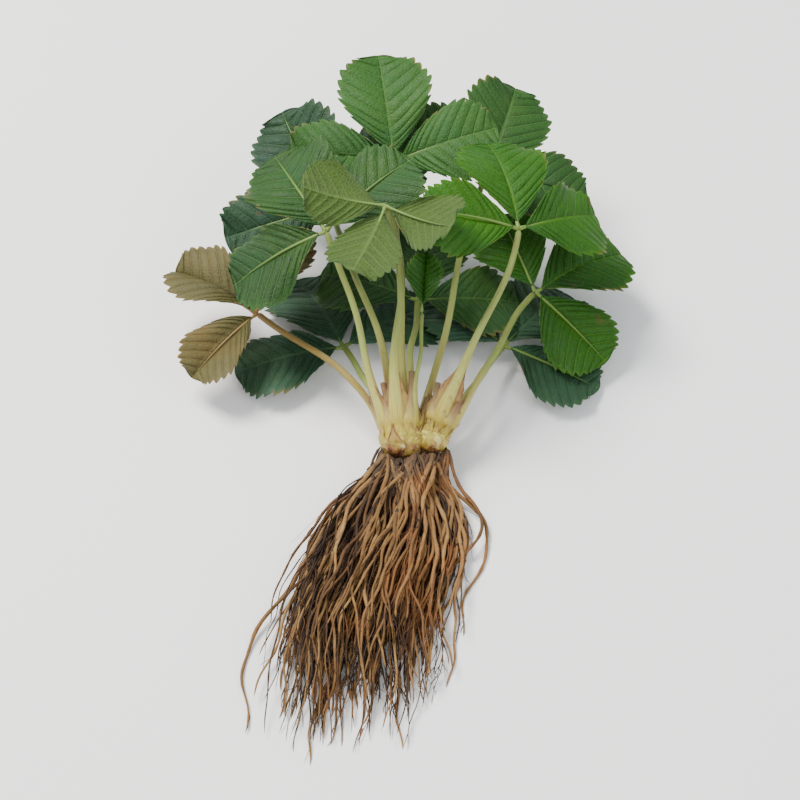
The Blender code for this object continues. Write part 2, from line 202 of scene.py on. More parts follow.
class Paint:
    # one material and its nodes
    def __init__(self, name, **shaderValues):
        self.material = bpy.data.materials.new(name)
        self.material.use_nodes = True
        self.nodes = self.material.node_tree.nodes
        self.links = self.material.node_tree.links
        self.shader = self.nodes["Principled BSDF"]
        for socket, value in shaderValues.items():
            self.shader.inputs[socket.replace("_", " ")].default_value = value

    def node(self, kind, settings, sockets, out=0):
        made = self.nodes.new(kind)
        for setting, value in settings.items():
            if setting == "stops":
                self.setStops(made.color_ramp, value)
            else:
                setattr(made, setting, value)
        for socket, value in sockets.items():
            if isinstance(value, Wire):
                self.links.new(value.socket, made.inputs[socket])
            else:
                made.inputs[socket].default_value = value
        return Wire(self, made.outputs[out])

    def setStops(self, ramp, stops):
        while len(ramp.elements) < len(stops):
            ramp.elements.new(0.5)
        for element, (position, colour) in zip(ramp.elements, stops):
            element.position = position
            element.color = (*colour, 1.0)

    def feed(self, socket, wire):
        self.links.new(wire.socket, self.shader.inputs[socket])

    def place(self):
        return self.node("ShaderNodeTexCoord", {}, {}, "Object")

    def ownMap(self):
        return self.node("ShaderNodeUVMap", {"uv_map": "UVMap"}, {})

    def alongAndAcross(self):
        # along the piece from foot to tip, and across or round it
        uv = self.ownMap()
        return [self.node("ShaderNodeSeparateXYZ", {}, {0: uv}, axis) for axis in "XY"]

    def attribute(self, name):
        return self.node("ShaderNodeAttribute", {"attribute_name": name}, {}, "Fac")

    def noise(self, scale, detail, stretch=None, vector=None):
        vector = vector or self.place()
        if stretch:
            vector = self.node("ShaderNodeMapping", {}, {"Vector": vector, "Scale": stretch})
        sockets = {"Vector": vector, "Scale": scale, "Detail": detail}
        return self.node("ShaderNodeTexNoise", {}, sockets, "Fac")

    def between(self, wire, low, high, start=0.0, end=1.0):
        # smoothly from start at the low value to end at the high one
        settings = {"interpolation_type": "SMOOTHSTEP"}
        sockets = {"Value": wire, "From Min": low, "From Max": high, "To Min": start, "To Max": end}
        return self.node("ShaderNodeMapRange", settings, sockets)

    def patches(self, scale, detail, low, high):
        return self.between(self.noise(scale, detail), low, high)

    def mix(self, share, first, second):
        # one colour laid over another, by a share
        first = first if isinstance(first, Wire) else (*first, 1.0)
        second = second if isinstance(second, Wire) else (*second, 1.0)
        settings = {"data_type": "RGBA"}
        return self.node("ShaderNodeMix", settings, {0: share, 6: first, 7: second}, 2)

    def ramp(self, wire, stops):
        return self.node("ShaderNodeValToRGB", {"stops": stops}, {0: wire})

    def bump(self, height, distance, strength):
        sockets = {"Height": height, "Distance": distance, "Strength": strength}
        self.feed("Normal", self.node("ShaderNodeBump", {}, sockets))


bladeLook = {
    "teeth": 9,  # on each side
    "rowsPerTooth": 5,
    "rows": 70,
    "toothTip": 0.8,  # how far along its own rows a tooth has its tip
    "lightness": {  # how light each leaf is, within its own colours; partly each leaf's own tone and partly painted light and shade: leaf_01 and leaf_03, which lie in shade on the floor, are set lighter, and leaf_08, which sits in full light, is set darker
        "leaf_01": 0.45,
        "leaf_02": 0.40,
        "leaf_03": 0.45,
        "leaf_04": 0.20,
        "leaf_05": 0.40,
        "leaf_06": 0.55,
        "leaf_07": 0.15,
        "leaf_08": 0.20,
        "leaf_09": 0.75,
        "leaf_10": 0.50,
        "leaf_11": 0.30,
        "young_leaf": 0.0,
    },
    "upper": {  # each one's deep colour, light colour and vein colour
        "shade": ((0.004, 0.020, 0.009), (0.026, 0.080, 0.034), (0.052, 0.110, 0.048)),
        "mature": ((0.0022, 0.018, 0.0025), (0.024, 0.086, 0.012), (0.058, 0.135, 0.028)),
        "pale": ((0.010, 0.045, 0.008), (0.045, 0.115, 0.028), (0.09, 0.17, 0.045)),
        "young": ((0.0028, 0.032, 0.001), (0.022, 0.105, 0.0015), (0.065, 0.170, 0.008)),
        "old": ((0.034, 0.040, 0.012), (0.120, 0.105, 0.036), (0.17, 0.12, 0.044)),
    },
    "lower": {
        "shade": (0.05, 0.09, 0.040),
        "mature": (0.06, 0.115, 0.030),
        "pale": (0.048, 0.092, 0.011),
        "young": (0.08, 0.15, 0.025),
        "old": (0.22, 0.095, 0.055),
    },
    "yellowing": (1.9, 1.1, 0.7),  # of the light colour
    "bloomAndSheenColour": (0.10, 0.19, 0.18),  # a dull grey bloom, partly painted sheen
    "driedColour": (0.20, 0.12, 0.035),
    "spotColour": (0.12, 0.055, 0.018),
    "shares": {  # how strong the bloom with its painted sheen, the dried margin and the spots are
        "shade": (0.16, 0.55, 0.30),
        "mature": (0.05, 0.55, 0.30),
        "pale": (0.05, 0.55, 0.30),
        "young": (0.05, 0.55, 0.30),
        "old": (0.05, 0.80, 0.75),
    },
    "patches": {  # size and detail of the noise, where a patch begins and where it is full
        "yellowed": (31.0, 3.0, 0.52, 0.74),
        "bloomAndSheen": (48.0, 3.0, 0.52, 0.74),
        "dried": (60.0, 2.0, 0.50, 0.66),
        "spots": (95.0, 2.0, 0.70, 0.75),
    },
    "veinWidth": (0.03, 0.11),  # where it starts and ends to fade, of a tooth
    "midribWidth": (0.012, 0.035),  # and of the blade
    "netScale": 520.0,
    "netWidth": 0.24,
    "netShare": 0.13,  # how much of the vein colour the net, the margin and the veins have
    "marginShare": 0.30,
    "veinShare": 0.50,
    "roughness": (0.50, 0.78),
    "bump": (0.0005, 0.85),  # height, strength
    "lowerRoughness": (0.68, 0.85),
    "lowerBump": (0.00045, 0.8),
}


def veinPattern(paint):
    # 1 on the midrib and on the side veins, which run out to the tips of the teeth
    along, across = paint.alongAndAcross()
    rows, perTooth = bladeLook["rows"], bladeLook["rowsPerTooth"]
    phase = (along * rows - (rows - bladeLook["teeth"] * perTooth)) / perTooth
    phase = phase - bladeLook["toothTip"] + 0.5
    fromVein = abs(paint.node("ShaderNodeMath", {"operation": "FRACT"}, {0: phase}) - 0.5)
    fromMidrib = abs(across - 0.5)
    sideVein = paint.between(fromVein, *bladeLook["veinWidth"], 1.0, 0.0)
    sideVein = sideVein * paint.between(fromMidrib, 0.36, 0.5, 1.0, 0.35)  # fainter at the margin
    midrib = paint.between(fromMidrib, *bladeLook["midribWidth"], 1.0, 0.0)
    branch = paint.node("ShaderNodeMath", {"operation": "MAXIMUM"}, {0: sideVein, 1: midrib})
    return branch, fromMidrib, fromVein


def netPattern(paint):
    # the fine net between the veins: 1 in its lines
    settings = {"feature": "DISTANCE_TO_EDGE"}
    sockets = {"Vector": paint.place(), "Scale": bladeLook["netScale"]}
    edge = paint.node("ShaderNodeTexVoronoi", settings, sockets, "Distance")
    return paint.between(edge, 0.0, bladeLook["netWidth"], 1.0, 0.0)


def makeUpperPaint(colour):
    deep, light, vein = bladeLook["upper"][colour]
    bloomAndSheenShare, driedShare, spotShare = bladeLook["shares"][colour]
    patches = bladeLook["patches"]
    paint = Paint(colour + " blade upper side", Specular_IOR_Level=0.22)
    branch, fromMidrib, fromVein = veinPattern(paint)
    net = netPattern(paint)
    mottle = paint.noise(140.0, 4.0)
    level = paint.noise(22.0, 2.0) * 0.60 + mottle * 0.25 + paint.attribute("tone") * 0.60
    body = paint.mix(paint.between(level, 0.30, 1.00), deep, light)
    yellowed = tuple(channel * gain for channel, gain in zip(light, bladeLook["yellowing"]))
    body = paint.mix(paint.patches(*patches["yellowed"]) * 0.35, body, yellowed)
    body = paint.mix(paint.between(fromVein, 0.1, 0.5) * 0.30, body, light)  # painted highlight on the back of each pleat, lighter away from the crease at each vein
    body = paint.mix(net * bladeLook["netShare"], body, vein)
    body = paint.mix(paint.between(fromMidrib, 0.44, 0.50) * bladeLook["marginShare"], body, vein)
    body = paint.mix(branch * bladeLook["veinShare"], body, vein)
    # grey patches, partly a real waxy bloom and partly painted sheen of the sky on the blade
    bloomAndSheen = paint.patches(*patches["bloomAndSheen"])
    body = paint.mix(bloomAndSheen * bloomAndSheenShare, body, bladeLook["bloomAndSheenColour"])
    dried = paint.between(fromMidrib, 0.465, 0.50) * paint.patches(*patches["dried"])
    body = paint.mix(dried * driedShare, body, bladeLook["driedColour"])
    spots = paint.patches(*patches["spots"])
    body = paint.mix(spots * spotShare, body, bladeLook["spotColour"])
    paint.feed("Base Color", body)
    paint.feed("Roughness", paint.between(mottle + bloomAndSheen * 0.3, 0.3, 1.0, *bladeLook["roughness"]))
    paint.bump(mottle * 0.6 - net * 0.32 - branch * 0.9, *bladeLook["bump"])  # sunk veins
    return paint.material


def makeLowerPaint(colour):
    under = bladeLook["lower"][colour]
    duller = tuple(channel * 0.72 for channel in under)
    paler = tuple(channel * 1.45 + 0.010 for channel in under)
    name = colour + " blade lower side"
    paint = Paint(name, Specular_IOR_Level=0.2, Sheen_Weight=0.08, Sheen_Roughness=0.6)
    branch, _, _ = veinPattern(paint)
    net = netPattern(paint)
    mottle = paint.noise(120.0, 4.0)
    level = mottle * 0.6 + paint.attribute("tone") * 0.4
    body = paint.mix(paint.between(level, 0.25, 0.75), duller, under)
    body = paint.mix(net * 0.30, body, paler)
    body = paint.mix(branch * 0.70, body, paler)
    paint.feed("Base Color", body)
    paint.feed("Roughness", paint.between(mottle, 0.3, 0.7, *bladeLook["lowerRoughness"]))
    paint.bump(mottle * 0.2 + net * 0.5 + branch, *bladeLook["lowerBump"])  # raised veins
    return paint.material


stalkLook = {
    "colours": {
        "foot": {"fresh": (0.45, 0.34, 0.032), "old": (0.43, 0.33, 0.032), "stub": (0.44, 0.33, 0.035)},
        "edge": {"fresh": (0.28, 0.125, 0.045), "old": (0.2, 0.095, 0.03), "stub": (0.22, 0.1, 0.045)},
        "lower": {"fresh": (0.45, 0.43, 0.1), "old": (0.34, 0.28, 0.032), "stub": (0.42, 0.34, 0.09)},
        "middle": {"fresh": (0.28, 0.36, 0.08), "old": (0.25, 0.185, 0.032), "stub": (0.3, 0.2, 0.08)},
        "tip": {"fresh": (0.12, 0.2, 0.026), "old": (0.21, 0.125, 0.038), "stub": (0.13, 0.065, 0.028)},
    },
    "levels": (0.0, 0.09, 0.22, 0.50, 1.0),  # where the foot starts and ends, and the three above it
    "markColour": (0.20, 0.115, 0.030),
    "marks": (230.0, 4.0, 0.60, 0.72),  # noise scale and detail, where one begins and is full
    "roughness": (0.36, 0.58),
    "bump": (0.0005, 0.8),
    "ribRoughness": (0.42, 0.60),
    "ribBump": (0.0002, 0.6),
    "ribs": {  # the midribs' colours, from foot to tip
        "fresh": ((0.0, (0.13, 0.20, 0.032)), (0.30, (0.12, 0.20, 0.035)), (1.0, (0.075, 0.15, 0.03))),
        "old": ((0.0, (0.23, 0.13, 0.035)), (1.0, (0.16, 0.125, 0.035))),
    },
}


def makeStalkPaint(name, kind):
    foot, edge, lower, middle, tip = (colours[kind] for colours in stalkLook["colours"].values())
    paint = Paint(name, Specular_IOR_Level=0.45)
    along, around = paint.alongAndAcross()
    streaks = paint.noise(9.0, 3.0, stretch=(1.0, 9.0, 1.0), vector=paint.ownMap())
    tone = paint.attribute("tone")
    level = along + (paint.noise(60.0, 3.0) - 0.5) * 0.12
    body = paint.ramp(level, tuple(zip(stalkLook["levels"], (foot, foot, lower, middle, tip))))
    flushed = paint.between(abs(abs(around - 0.5) - 0.25), 0.02, 0.14, 1.0, 0.0)
    flushed = flushed * paint.between(level, 0.16, 0.42, 1.0, 0.12)
    body = paint.mix(flushed * 0.85, body, edge)  # the thin margins of the sheath are flushed
    body = paint.mix(paint.between(streaks, 0.50, 0.64) * (tone * 0.4 + 0.25), body, edge)
    pale = tuple(channel * 1.2 + 0.03 for channel in lower)
    body = paint.mix(paint.between(streaks, 0.48, 0.26) * 0.40, body, pale)
    marks = paint.patches(*stalkLook["marks"]) * paint.between(along, 0.45, 0.1, 0.15, 0.65)
    body = paint.mix(marks, body, stalkLook["markColour"])
    paint.feed("Base Color", body)
    paint.feed("Roughness", paint.between(streaks, 0.2, 0.8, *stalkLook["roughness"]))
    paint.bump(streaks + paint.noise(900.0, 2.0) * 0.3, *stalkLook["bump"])
    return paint.material


def makeRibPaint(name, kind):
    paint = Paint(name, Specular_IOR_Level=0.4)
    patches = paint.noise(150.0, 3.0)
    along, _ = paint.alongAndAcross()
    paint.feed("Base Color", paint.ramp(along + (patches - 0.5) * 0.4, stalkLook["ribs"][kind]))
    paint.feed("Roughness", paint.between(patches, 0.3, 0.7, *stalkLook["ribRoughness"]))
    paint.bump(paint.noise(700.0, 2.0), *stalkLook["ribBump"])
    return paint.material


crownLook = {
    "stops": (  # level up the crown, colour
        # darkest at the root end: partly the crown's own red-brown base and partly painted shade where the
        # roots meet it
        (0.0, (0.022, 0.007, 0.003)),
        (0.08, (0.075, 0.020, 0.007)),
        (0.16, (0.22, 0.080, 0.022)),
        (0.24, (0.46, 0.34, 0.060)),
        # the brightest band, partly the crown's cream flesh and partly a painted highlight on the bulb's
        # widest part
        (0.34, (0.60, 0.51, 0.090)),
        (0.46, (0.46, 0.38, 0.050)),
        (0.56, (0.36, 0.22, 0.022)),
        (0.72, (0.30, 0.30, 0.040)),
        (0.95, (0.18, 0.26, 0.040)),
    ),
    "levelsPerMetre": 38.0,
    "fibreColour": (0.26, 0.115, 0.024),
    "blotchColour": (0.30, 0.25, 0.032),
    # cream patches, partly the crown's pale flesh and partly painted highlights of its wet gloss
    "paleFleshAndHighlightColour": (0.80, 0.74, 0.27),
    "roughness": (0.28, 0.60),
    "bump": (0.0009, 1.0),
}


def makeCrownPaint():
    paint = Paint("crown flesh", Specular_IOR_Level=0.45)
    foot, axis, _, _, _ = growingAxes("main")
    settings = {"operation": "SUBTRACT"}
    centred = paint.node("ShaderNodeVectorMath", settings, {0: paint.place(), 1: foot})
    settings = {"operation": "DOT_PRODUCT"}
    height = paint.node("ShaderNodeVectorMath", settings, {0: centred, 1: axis}, "Value")
    fibres = paint.noise(420.0, 4.0, stretch=(1.0, 0.16, 1.0))
    patches = paint.noise(150.0, 4.0)
    level = height * crownLook["levelsPerMetre"] + (patches - 0.5) * 0.50 + (fibres - 0.5) * 0.30
    body = paint.ramp(level, crownLook["stops"])
    body = paint.mix(paint.between(fibres, 0.50, 0.62) * 0.75, body, crownLook["fibreColour"])
    body = paint.mix(paint.patches(330.0, 3.0, 0.48, 0.60) * 0.60, body, crownLook["blotchColour"])
    # pale patches, partly pale flesh and partly painted highlights of the crown's wet gloss
    body = paint.mix(paint.between(patches, 0.46, 0.32) * 0.60, body, crownLook["paleFleshAndHighlightColour"])
    paint.feed("Base Color", body)
    paint.feed("Roughness", paint.between(patches, 0.3, 0.7, *crownLook["roughness"]))
    paint.bump(fibres * 0.8 + patches * 0.5, *crownLook["bump"])
    return paint.material


sheathLook = {
    "stops": (  # from its foot and middle to its tip and edges
        (0.10, (0.46, 0.37, 0.045)),
        (0.34, (0.43, 0.31, 0.055)),
        (0.54, (0.38, 0.21, 0.070)),
        (0.76, (0.22, 0.095, 0.034)),
        (0.98, (0.085, 0.030, 0.012)),
    ),
    "fibreColour": (0.62, 0.52, 0.24),
    "speckColour": (0.24, 0.105, 0.028),
    "roughness": (0.50, 0.78),
    "bump": (0.0005, 0.9),
}


def makeSheathPaint():
    paint = Paint("papery sheath", Specular_IOR_Level=0.3, Sheen_Weight=0.1)
    along, across = paint.alongAndAcross()
    fibres = paint.noise(7.0, 4.0, stretch=(0.6, 8.0, 1.0), vector=paint.ownMap())
    patches = paint.noise(170.0, 3.0)
    level = along * 0.62 + abs(across - 0.5) * 0.55 + paint.attribute("tone") * 0.2
    level = level + (patches - 0.5) * 0.5 + (fibres - 0.5) * 0.5
    body = paint.ramp(level, sheathLook["stops"])
    body = paint.mix(paint.between(fibres, 0.52, 0.70) * 0.50, body, sheathLook["fibreColour"])
    body = paint.mix(paint.patches(260.0, 4.0, 0.54, 0.66) * 0.60, body, sheathLook["speckColour"])
    paint.feed("Base Color", body)
    paint.feed("Roughness", paint.between(fibres, 0.3, 0.7, *sheathLook["roughness"]))
    paint.bump(fibres, *sheathLook["bump"])
    return paint.material


barkLook = {
    "rootStops": (  # from the thin dark roots to the stout light ones
        (0.05, (0.014, 0.006, 0.003)),
        (0.28, (0.038, 0.018, 0.008)),
        (0.52, (0.115, 0.056, 0.019)),
        (0.78, (0.22, 0.118, 0.040)),
        (1.0, (0.36, 0.22, 0.082)),
    ),
    "rootletStops": (
        (0.1, (0.014, 0.006, 0.003)),
        (0.5, (0.050, 0.022, 0.010)),
        (0.95, (0.16, 0.075, 0.028)),
    ),
    "rustColour": (0.25, 0.095, 0.026),
    # dark soil dust, which near the crown also stands for painted shade
    "dustAndShadeColour": (0.062, 0.040, 0.026),
    "roughness": (0.62, 0.86),
    "bump": (0.0007, 1.0),
    "soilStops": (
        (0.25, (0.014, 0.009, 0.006)),
        (0.55, (0.048, 0.030, 0.019)),
        (0.8, (0.115, 0.080, 0.055)),
    ),
    "soilRoughness": (0.8, 0.95),
    "soilBump": (0.0008, 1.0),
}


def makeRootPaint(name, stops, dustAndShadeShare):
    paint = Paint(name, Specular_IOR_Level=0.28)
    bark = paint.noise(420.0, 4.0)
    patches = paint.noise(75.0, 3.0)
    level = paint.attribute("tone") * 0.78 + (bark - 0.5) * 0.40 + (patches - 0.5) * 0.46 + 0.045
    body = paint.ramp(level, stops)
    body = paint.mix(paint.patches(34.0, 3.0, 0.50, 0.66) * 0.45, body, barkLook["rustColour"])
    dustAndShade = paint.noise(95.0, 4.0) + paint.attribute("soil") * 0.42  # soil dust, most of it near the crown, where the darkening is partly painted shade under the crown's end
    body = paint.mix(paint.between(dustAndShade, 0.64, 0.90) * dustAndShadeShare, body, barkLook["dustAndShadeColour"])
    paint.feed("Base Color", body)
    paint.feed("Roughness", paint.between(bark, 0.3, 0.7, *barkLook["roughness"]))
    paint.bump(bark * 0.9 + paint.noise(1500.0, 2.0) * 0.4, *barkLook["bump"])
    return paint.material


def makeSoilPaint():
    paint = Paint("clinging soil", Specular_IOR_Level=0.2)
    grain = paint.noise(700.0, 5.0)
    level = grain * 0.6 + paint.noise(110.0, 2.0) * 0.4
    paint.feed("Base Color", paint.ramp(level, barkLook["soilStops"]))
    paint.feed("Roughness", paint.between(grain, 0.3, 0.7, *barkLook["soilRoughness"]))
    paint.bump(grain, *barkLook["soilBump"])
    return paint.material


bladePaints = {}
for colour in bladeLook["upper"]:
    bladePaints[colour] = makeUpperPaint(colour), makeLowerPaint(colour)
paints = {
    "stalk": makeStalkPaint("stalk", "fresh"),
    "oldStalk": makeStalkPaint("old stalk", "old"),
    "stub": makeStalkPaint("old stub", "stub"),
    "rib": makeRibPaint("midrib", "fresh"),
    "oldRib": makeRibPaint("old midrib", "old"),
    "crown": makeCrownPaint(),
    "sheath": makeSheathPaint(),
    "root": makeRootPaint("root bark", barkLook["rootStops"], 0.75),
    "rootlet": makeRootPaint("rootlet bark", barkLook["rootletStops"], 0.4),
    "soil": makeSoilPaint(),
}
print("finishes made")


# ---- shared ways of making a mesh

def named(name):
    # the primitive just added, under its own name
    piece = bpy.context.object
    piece.name = piece.data.name = name
    return piece


def settle(piece):
    # riding on the frame, with nothing left selected
    piece.data.update()
    bpy.ops.object.select_all(action="DESELECT")
    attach(piece, "root")


def writeValues(mesh, name, values):
    attribute = mesh.attributes.new(name, "FLOAT", "POINT")
    attribute.data.foreach_set("value", np.asarray(values, dtype=np.float32))


def turnedFrames(paths, firstSide):
    # a side vector at each point of each path, carried along without twisting
    tangents = np.gradient(paths, axis=1)
    tangents /= np.linalg.norm(tangents, axis=2, keepdims=True) + 1e-12
    sides = np.empty_like(paths)
    side = firstSide
    for i in range(paths.shape[1]):
        tangent = tangents[:, i]
        side = side - tangent * (side * tangent).sum(axis=1, keepdims=True)
        side = side / (np.linalg.norm(side, axis=1, keepdims=True) + 1e-12)
        sides[:, i] = side
    return sides, np.cross(tangents, sides)


def wrapTubes(
    name, paths, thick, wide, corners, tones, soilAndShade=None, firstSide=None, inner=1.0, clasp=0.0
):
    # one grid, wrapped into a closed tube round each path; thick and wide are its half sizes
    # at each point, inner is how full its inner side is, and clasp is how sharply its edges
    # bend round what it grows on
    count, points, _ = paths.shape
    if firstSide is None:
        firstSide = np.tile((0.0, 0.0, 1.0), (count, 1))
    columns = count * (corners + 1) - 1
    bpy.ops.mesh.primitive_grid_add(x_subdivisions=points - 1, y_subdivisions=columns, size=2)
    tube = named(name)
    sides, others = turnedFrames(paths, firstSide)
    thick, wide = thick.copy(), wide.copy()
    thick[:, (0, -1)] = wide[:, (0, -1)] = 0.0  # each end closes to a point
    angles = (np.arange(corners + 1) % corners * 2 * math.pi / corners)[None, :, None]
    out = np.cos(angles) * thick[:, None] * np.where(np.cos(angles) < 0, inner, 1.0)
    aside = np.sin(angles) * wide[:, None]
    out = out - aside**2 * clasp / 2
    places = paths[:, None] + out[..., None] * sides[:, None] + aside[..., None] * others[:, None]
    mesh = tube.data
    mesh.vertices.foreach_set("co", places.reshape(-1))
    writeValues(mesh, "tone", np.repeat(tones, (corners + 1) * points))
    if soilAndShade is not None:
        writeValues(mesh, "soil", np.repeat(soilAndShade[:, None], corners + 1, axis=1).reshape(-1))
    column = np.arange(len(mesh.polygons)) // (points - 1)
    mesh.polygons.foreach_set("select", column % (corners + 1) == corners)  # between two tubes
    bpy.ops.object.mode_set(mode="EDIT")
    bpy.ops.mesh.select_mode(type="FACE")
    if count > 1:
        bpy.ops.mesh.delete(type="FACE")
    bpy.ops.mesh.select_all(action="SELECT")
    bpy.ops.mesh.remove_doubles(threshold=1e-6)
    bpy.ops.mesh.normals_make_consistent(inside=False)
    bpy.ops.object.mode_set(mode="OBJECT")
    bpy.ops.object.shade_smooth()
    return tube


def makeSheet(name, rows, columns, places, thickness, tone, finishes):
    # a thin sheet over the grid's points; a second finish goes on its lower side
    bpy.ops.mesh.primitive_grid_add(x_subdivisions=rows, y_subdivisions=columns, size=2)
    piece = named(name)
    piece.data.vertices.foreach_set("co", places.reshape(-1))
    writeValues(piece.data, "tone", np.full(len(places), tone))
    for finish in finishes:
        piece.data.materials.append(finish)
    wall = piece.modifiers.new("wall", "SOLIDIFY")
    wall.thickness = thickness
    wall.offset = 0.0
    wall.material_offset = len(finishes) - 1
    bpy.ops.object.modifier_apply(modifier="wall")
    bpy.ops.object.shade_smooth_by_angle(angle=math.radians(60))
    return piece


def joinInto(piece, *others):
    bpy.ops.object.select_all(action="DESELECT")
    for other in (piece, *others):
        other.select_set(True)
    bpy.context.view_layer.objects.active = piece
    bpy.ops.object.join()
    return piece


# ---- leaves

blade = {
    "thickness": 0.00042,
    "columns": 22,
    "lastMargin": 0.965,  # where the outline's rows end, of the length
    "bodyShare": 0.93,  # of the half width; the teeth reach the rest
    "toothDepth": 0.062,  # of the length
    "toothStart": 0.66,  # from here on, between midrib and margin, the sheet is drawn out into teeth
    "toothUnevenness": 0.16,
    "veinSlant": 0.75,
    "pleat": 0.0130,  # height of the pleats between the veins, of the length
    "creaseWidth": 0.17,  # of the crease between two pleats, of a tooth
    "creaseDepth": 1.15,
    "groove": 0.0005,  # along the midrib
    "ruffle": 0.050,  # of the margin, of the length
    "ruffleWaves": ((1.4, 1.0), (3.1, 0.5)),  # waves along it, share
    "bow": 0.045,
    "bendSpare": 0.15,  # the least bend across, so that a flat blade isn't quite flat
    "footHalfWidth": 0.0009,
    "floorSoftness": 0.0010,
    "cadThickness": 0.0005,
    "ribRadius": 0.00085,  # on a leaflet as long as ribLength
    "ribLength": 0.052,
    "ribDepth": 0.00035,  # below the blade's middle
    "ribEnd": 0.93,
    "ribPoints": 22,
    "ribCorners": 8,
    "jointRadius": 0.00045,
}


def outline(share, halfWidth):
    # half the width of a blade at a share of its length
    a, b = plan["widest"]
    top = a / (a + b)
    return halfWidth * share**a * (1 - share) ** b / (top**a * (1 - top) ** b)


def bendBlade(flat, length, halfWidths, fold, droop):
    # flat points (along, across, height) folded about the midrib and drooping towards the tip
    fold, droop = math.radians(fold), math.radians(droop)
    x, y, z = flat[:, 0], flat[:, 1], flat[:, 2]
    angle = droop * x / length
    across = np.abs(y)
    rate = (fold * 0.9 + blade["bendSpare"]) / (np.where(y > 0, *halfWidths) * length)
    lean = fold - rate * across
    side = (math.sin(fold) - np.sin(lean)) / rate
    rise = (np.cos(lean) - math.cos(fold)) / rate
    side = side - np.sin(lean) * z  # the height stands square on the bent sheet
    rise = rise + np.cos(lean) * z
    places = np.empty_like(flat)
    places[:, 0] = np.sin(angle) * (length / droop + rise)
    places[:, 1] = np.copysign(side, y)
    places[:, 2] = (np.cos(angle) - 1) * length / droop + np.cos(angle) * rise
    return places


def placeBlade(places, matrix):
    # into the plant's own frame, and up off the floor where it would go through it
    matrix = np.array(matrix)
    places = places @ matrix[:3, :3].T + matrix[:3, 3]
    z = places[:, 2] - blade["cadThickness"]
    places[:, 2] = 0.5 * (z + np.hypot(z, blade["floorSoftness"])) + blade["cadThickness"]
    return places


def bladeMatrix(leaf):
    # x along the middle leaflet, y to its left, z out of its upper side
    heading = direction(leaf["turn"], leaf["lift"])
    left = up.cross(heading).normalized()
    axes = Matrix((heading, left, heading.cross(left))).transposed().to_4x4()
    roll = Matrix.Rotation(math.radians(leaf["roll"]), 4, heading)
    return Matrix.Translation(crownFoot + Vector(leaf["joint"])) @ roll @ axes


def bladeFlat(length, halfWidths, luck):
    # the flat blade's points: each row of the grid is a side vein, out to the margin at a slant
    rows, perTooth, tip = bladeLook["rows"], bladeLook["rowsPerTooth"], bladeLook["toothTip"]
    columns = blade["columns"]
    u = np.tile(np.arange(rows + 1) / rows, columns + 1)
    v = np.repeat(np.arange(columns + 1) * 2 / columns - 1, rows + 1)
    out = np.abs(v)
    marginShare = np.sin(math.pi / 2 * u) ** 2 * blade["lastMargin"]
    slant = blade["veinSlant"] * outline(marginShare, sum(halfWidths) / 2) * (1 - u**6)
    rootShare = marginShare - slant
    half = outline(marginShare, np.where(v > 0, *halfWidths)) * blade["bodyShare"]
    x = (rootShare + (marginShare - rootShare) * out**1.2) * length
    y = np.maximum(half * length, blade["footHalfWidth"]) * out
    phase = (u * rows - (rows - bladeLook["teeth"] * perTooth)) / perTooth
    step = phase % 1.0
    tooth = np.where(step <= tip, np.sin(math.pi / 2 * step / tip) ** 0.9, (1 - step) / (1 - tip))
    uneven = np.sin(np.floor(phase) * 2.4 + np.sign(v) * 1.3 + luck.random() * 6)
    tooth = tooth * smoothstep(phase / 1.5 + 0.35) * (1.0 - 0.30 * u)
    tooth = tooth * (1 + blade["toothUnevenness"] * uneven)
    drawnOut = np.clip((out - blade["toothStart"]) / (1 - blade["toothStart"]), 0, 1) ** 1.5
    reach = drawnOut * blade["toothDepth"] * length * tooth
    along, aside = marginShare - rootShare, half
    size = np.hypot(along, aside) + 1e-9
    x = x + reach * along / size
    y = (y + reach * aside / size) * np.sign(v)
    crest = np.clip((u - 0.94) / 0.06, 0, 1) ** 2 * (1 - out**1.6)  # the tooth at the very tip
    x = x + crest * blade["toothDepth"] * 0.8 * length
    fromVein = np.abs((phase - tip + 0.5) % 1.0 - 0.5)
    pleat = 0.5 - blade["creaseDepth"] * np.exp(-((fromVein / blade["creaseWidth"]) ** 2))
    z = pleat * blade["pleat"] * length * smoothstep(out / 0.2)
    z = z * (1 - 0.45 * out) * smoothstep(u / 0.15)
    z = z - blade["groove"] * np.exp(-((out / 0.07) ** 2)) * (1 - u)
    ruffle = blade["ruffle"] * length * luck.uniform(0.6, 1.25)
    for waves, share in blade["ruffleWaves"]:
        start = luck.random()
        swell = np.sin(2 * math.pi * (waves * u + start) + np.sign(v) * luck.uniform(0.4, 1.6))
        z = z + share * ruffle * out**2.4 * smoothstep(u / 0.4) * swell
    bow = math.sin(luck.uniform(0, 2 * math.pi)) * blade["bow"] * length
    z = z + bow * np.sin(math.pi * np.clip(x / length, 0, 1.1)) * smoothstep(u / 0.3)
    return np.stack((x, y, z), axis=1)


def leafletMatrix(leaf, splay, cup, twist):
    # the frame of one leaflet, at its own foot
    swing = Matrix.Rotation(math.radians(splay), 4, "Z") @ Matrix.Rotation(math.radians(-cup), 4, "Y")
    swing = swing @ Matrix.Rotation(math.radians(twist), 4, "X")
    return bladeMatrix(leaf) @ swing @ Matrix.Translation((plan["leafletFoot"], 0.0, 0.0))


def makeBlade(name, leaf, matrix, length, halfWidths, node):
    luck = random.Random(name)
    flat = bladeFlat(length, halfWidths, luck)
    places = placeBlade(bendBlade(flat, length, halfWidths, leaf["fold"], leaf["droop"]), matrix)
    tone = np.clip(bladeLook["lightness"][leaf["name"]] + luck.uniform(-0.2, 0.2), 0, 1)
    finishes = bladePaints[leaf["colour"]]
    piece = makeSheet(
        name, bladeLook["rows"], blade["columns"], places, blade["thickness"], tone, finishes
    )
    joinInto(piece, makeRib(name + "_rib", leaf, matrix, length, halfWidths, tone))
    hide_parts(node)
    "leaf_" + leaf["colour"]
    settle(piece)


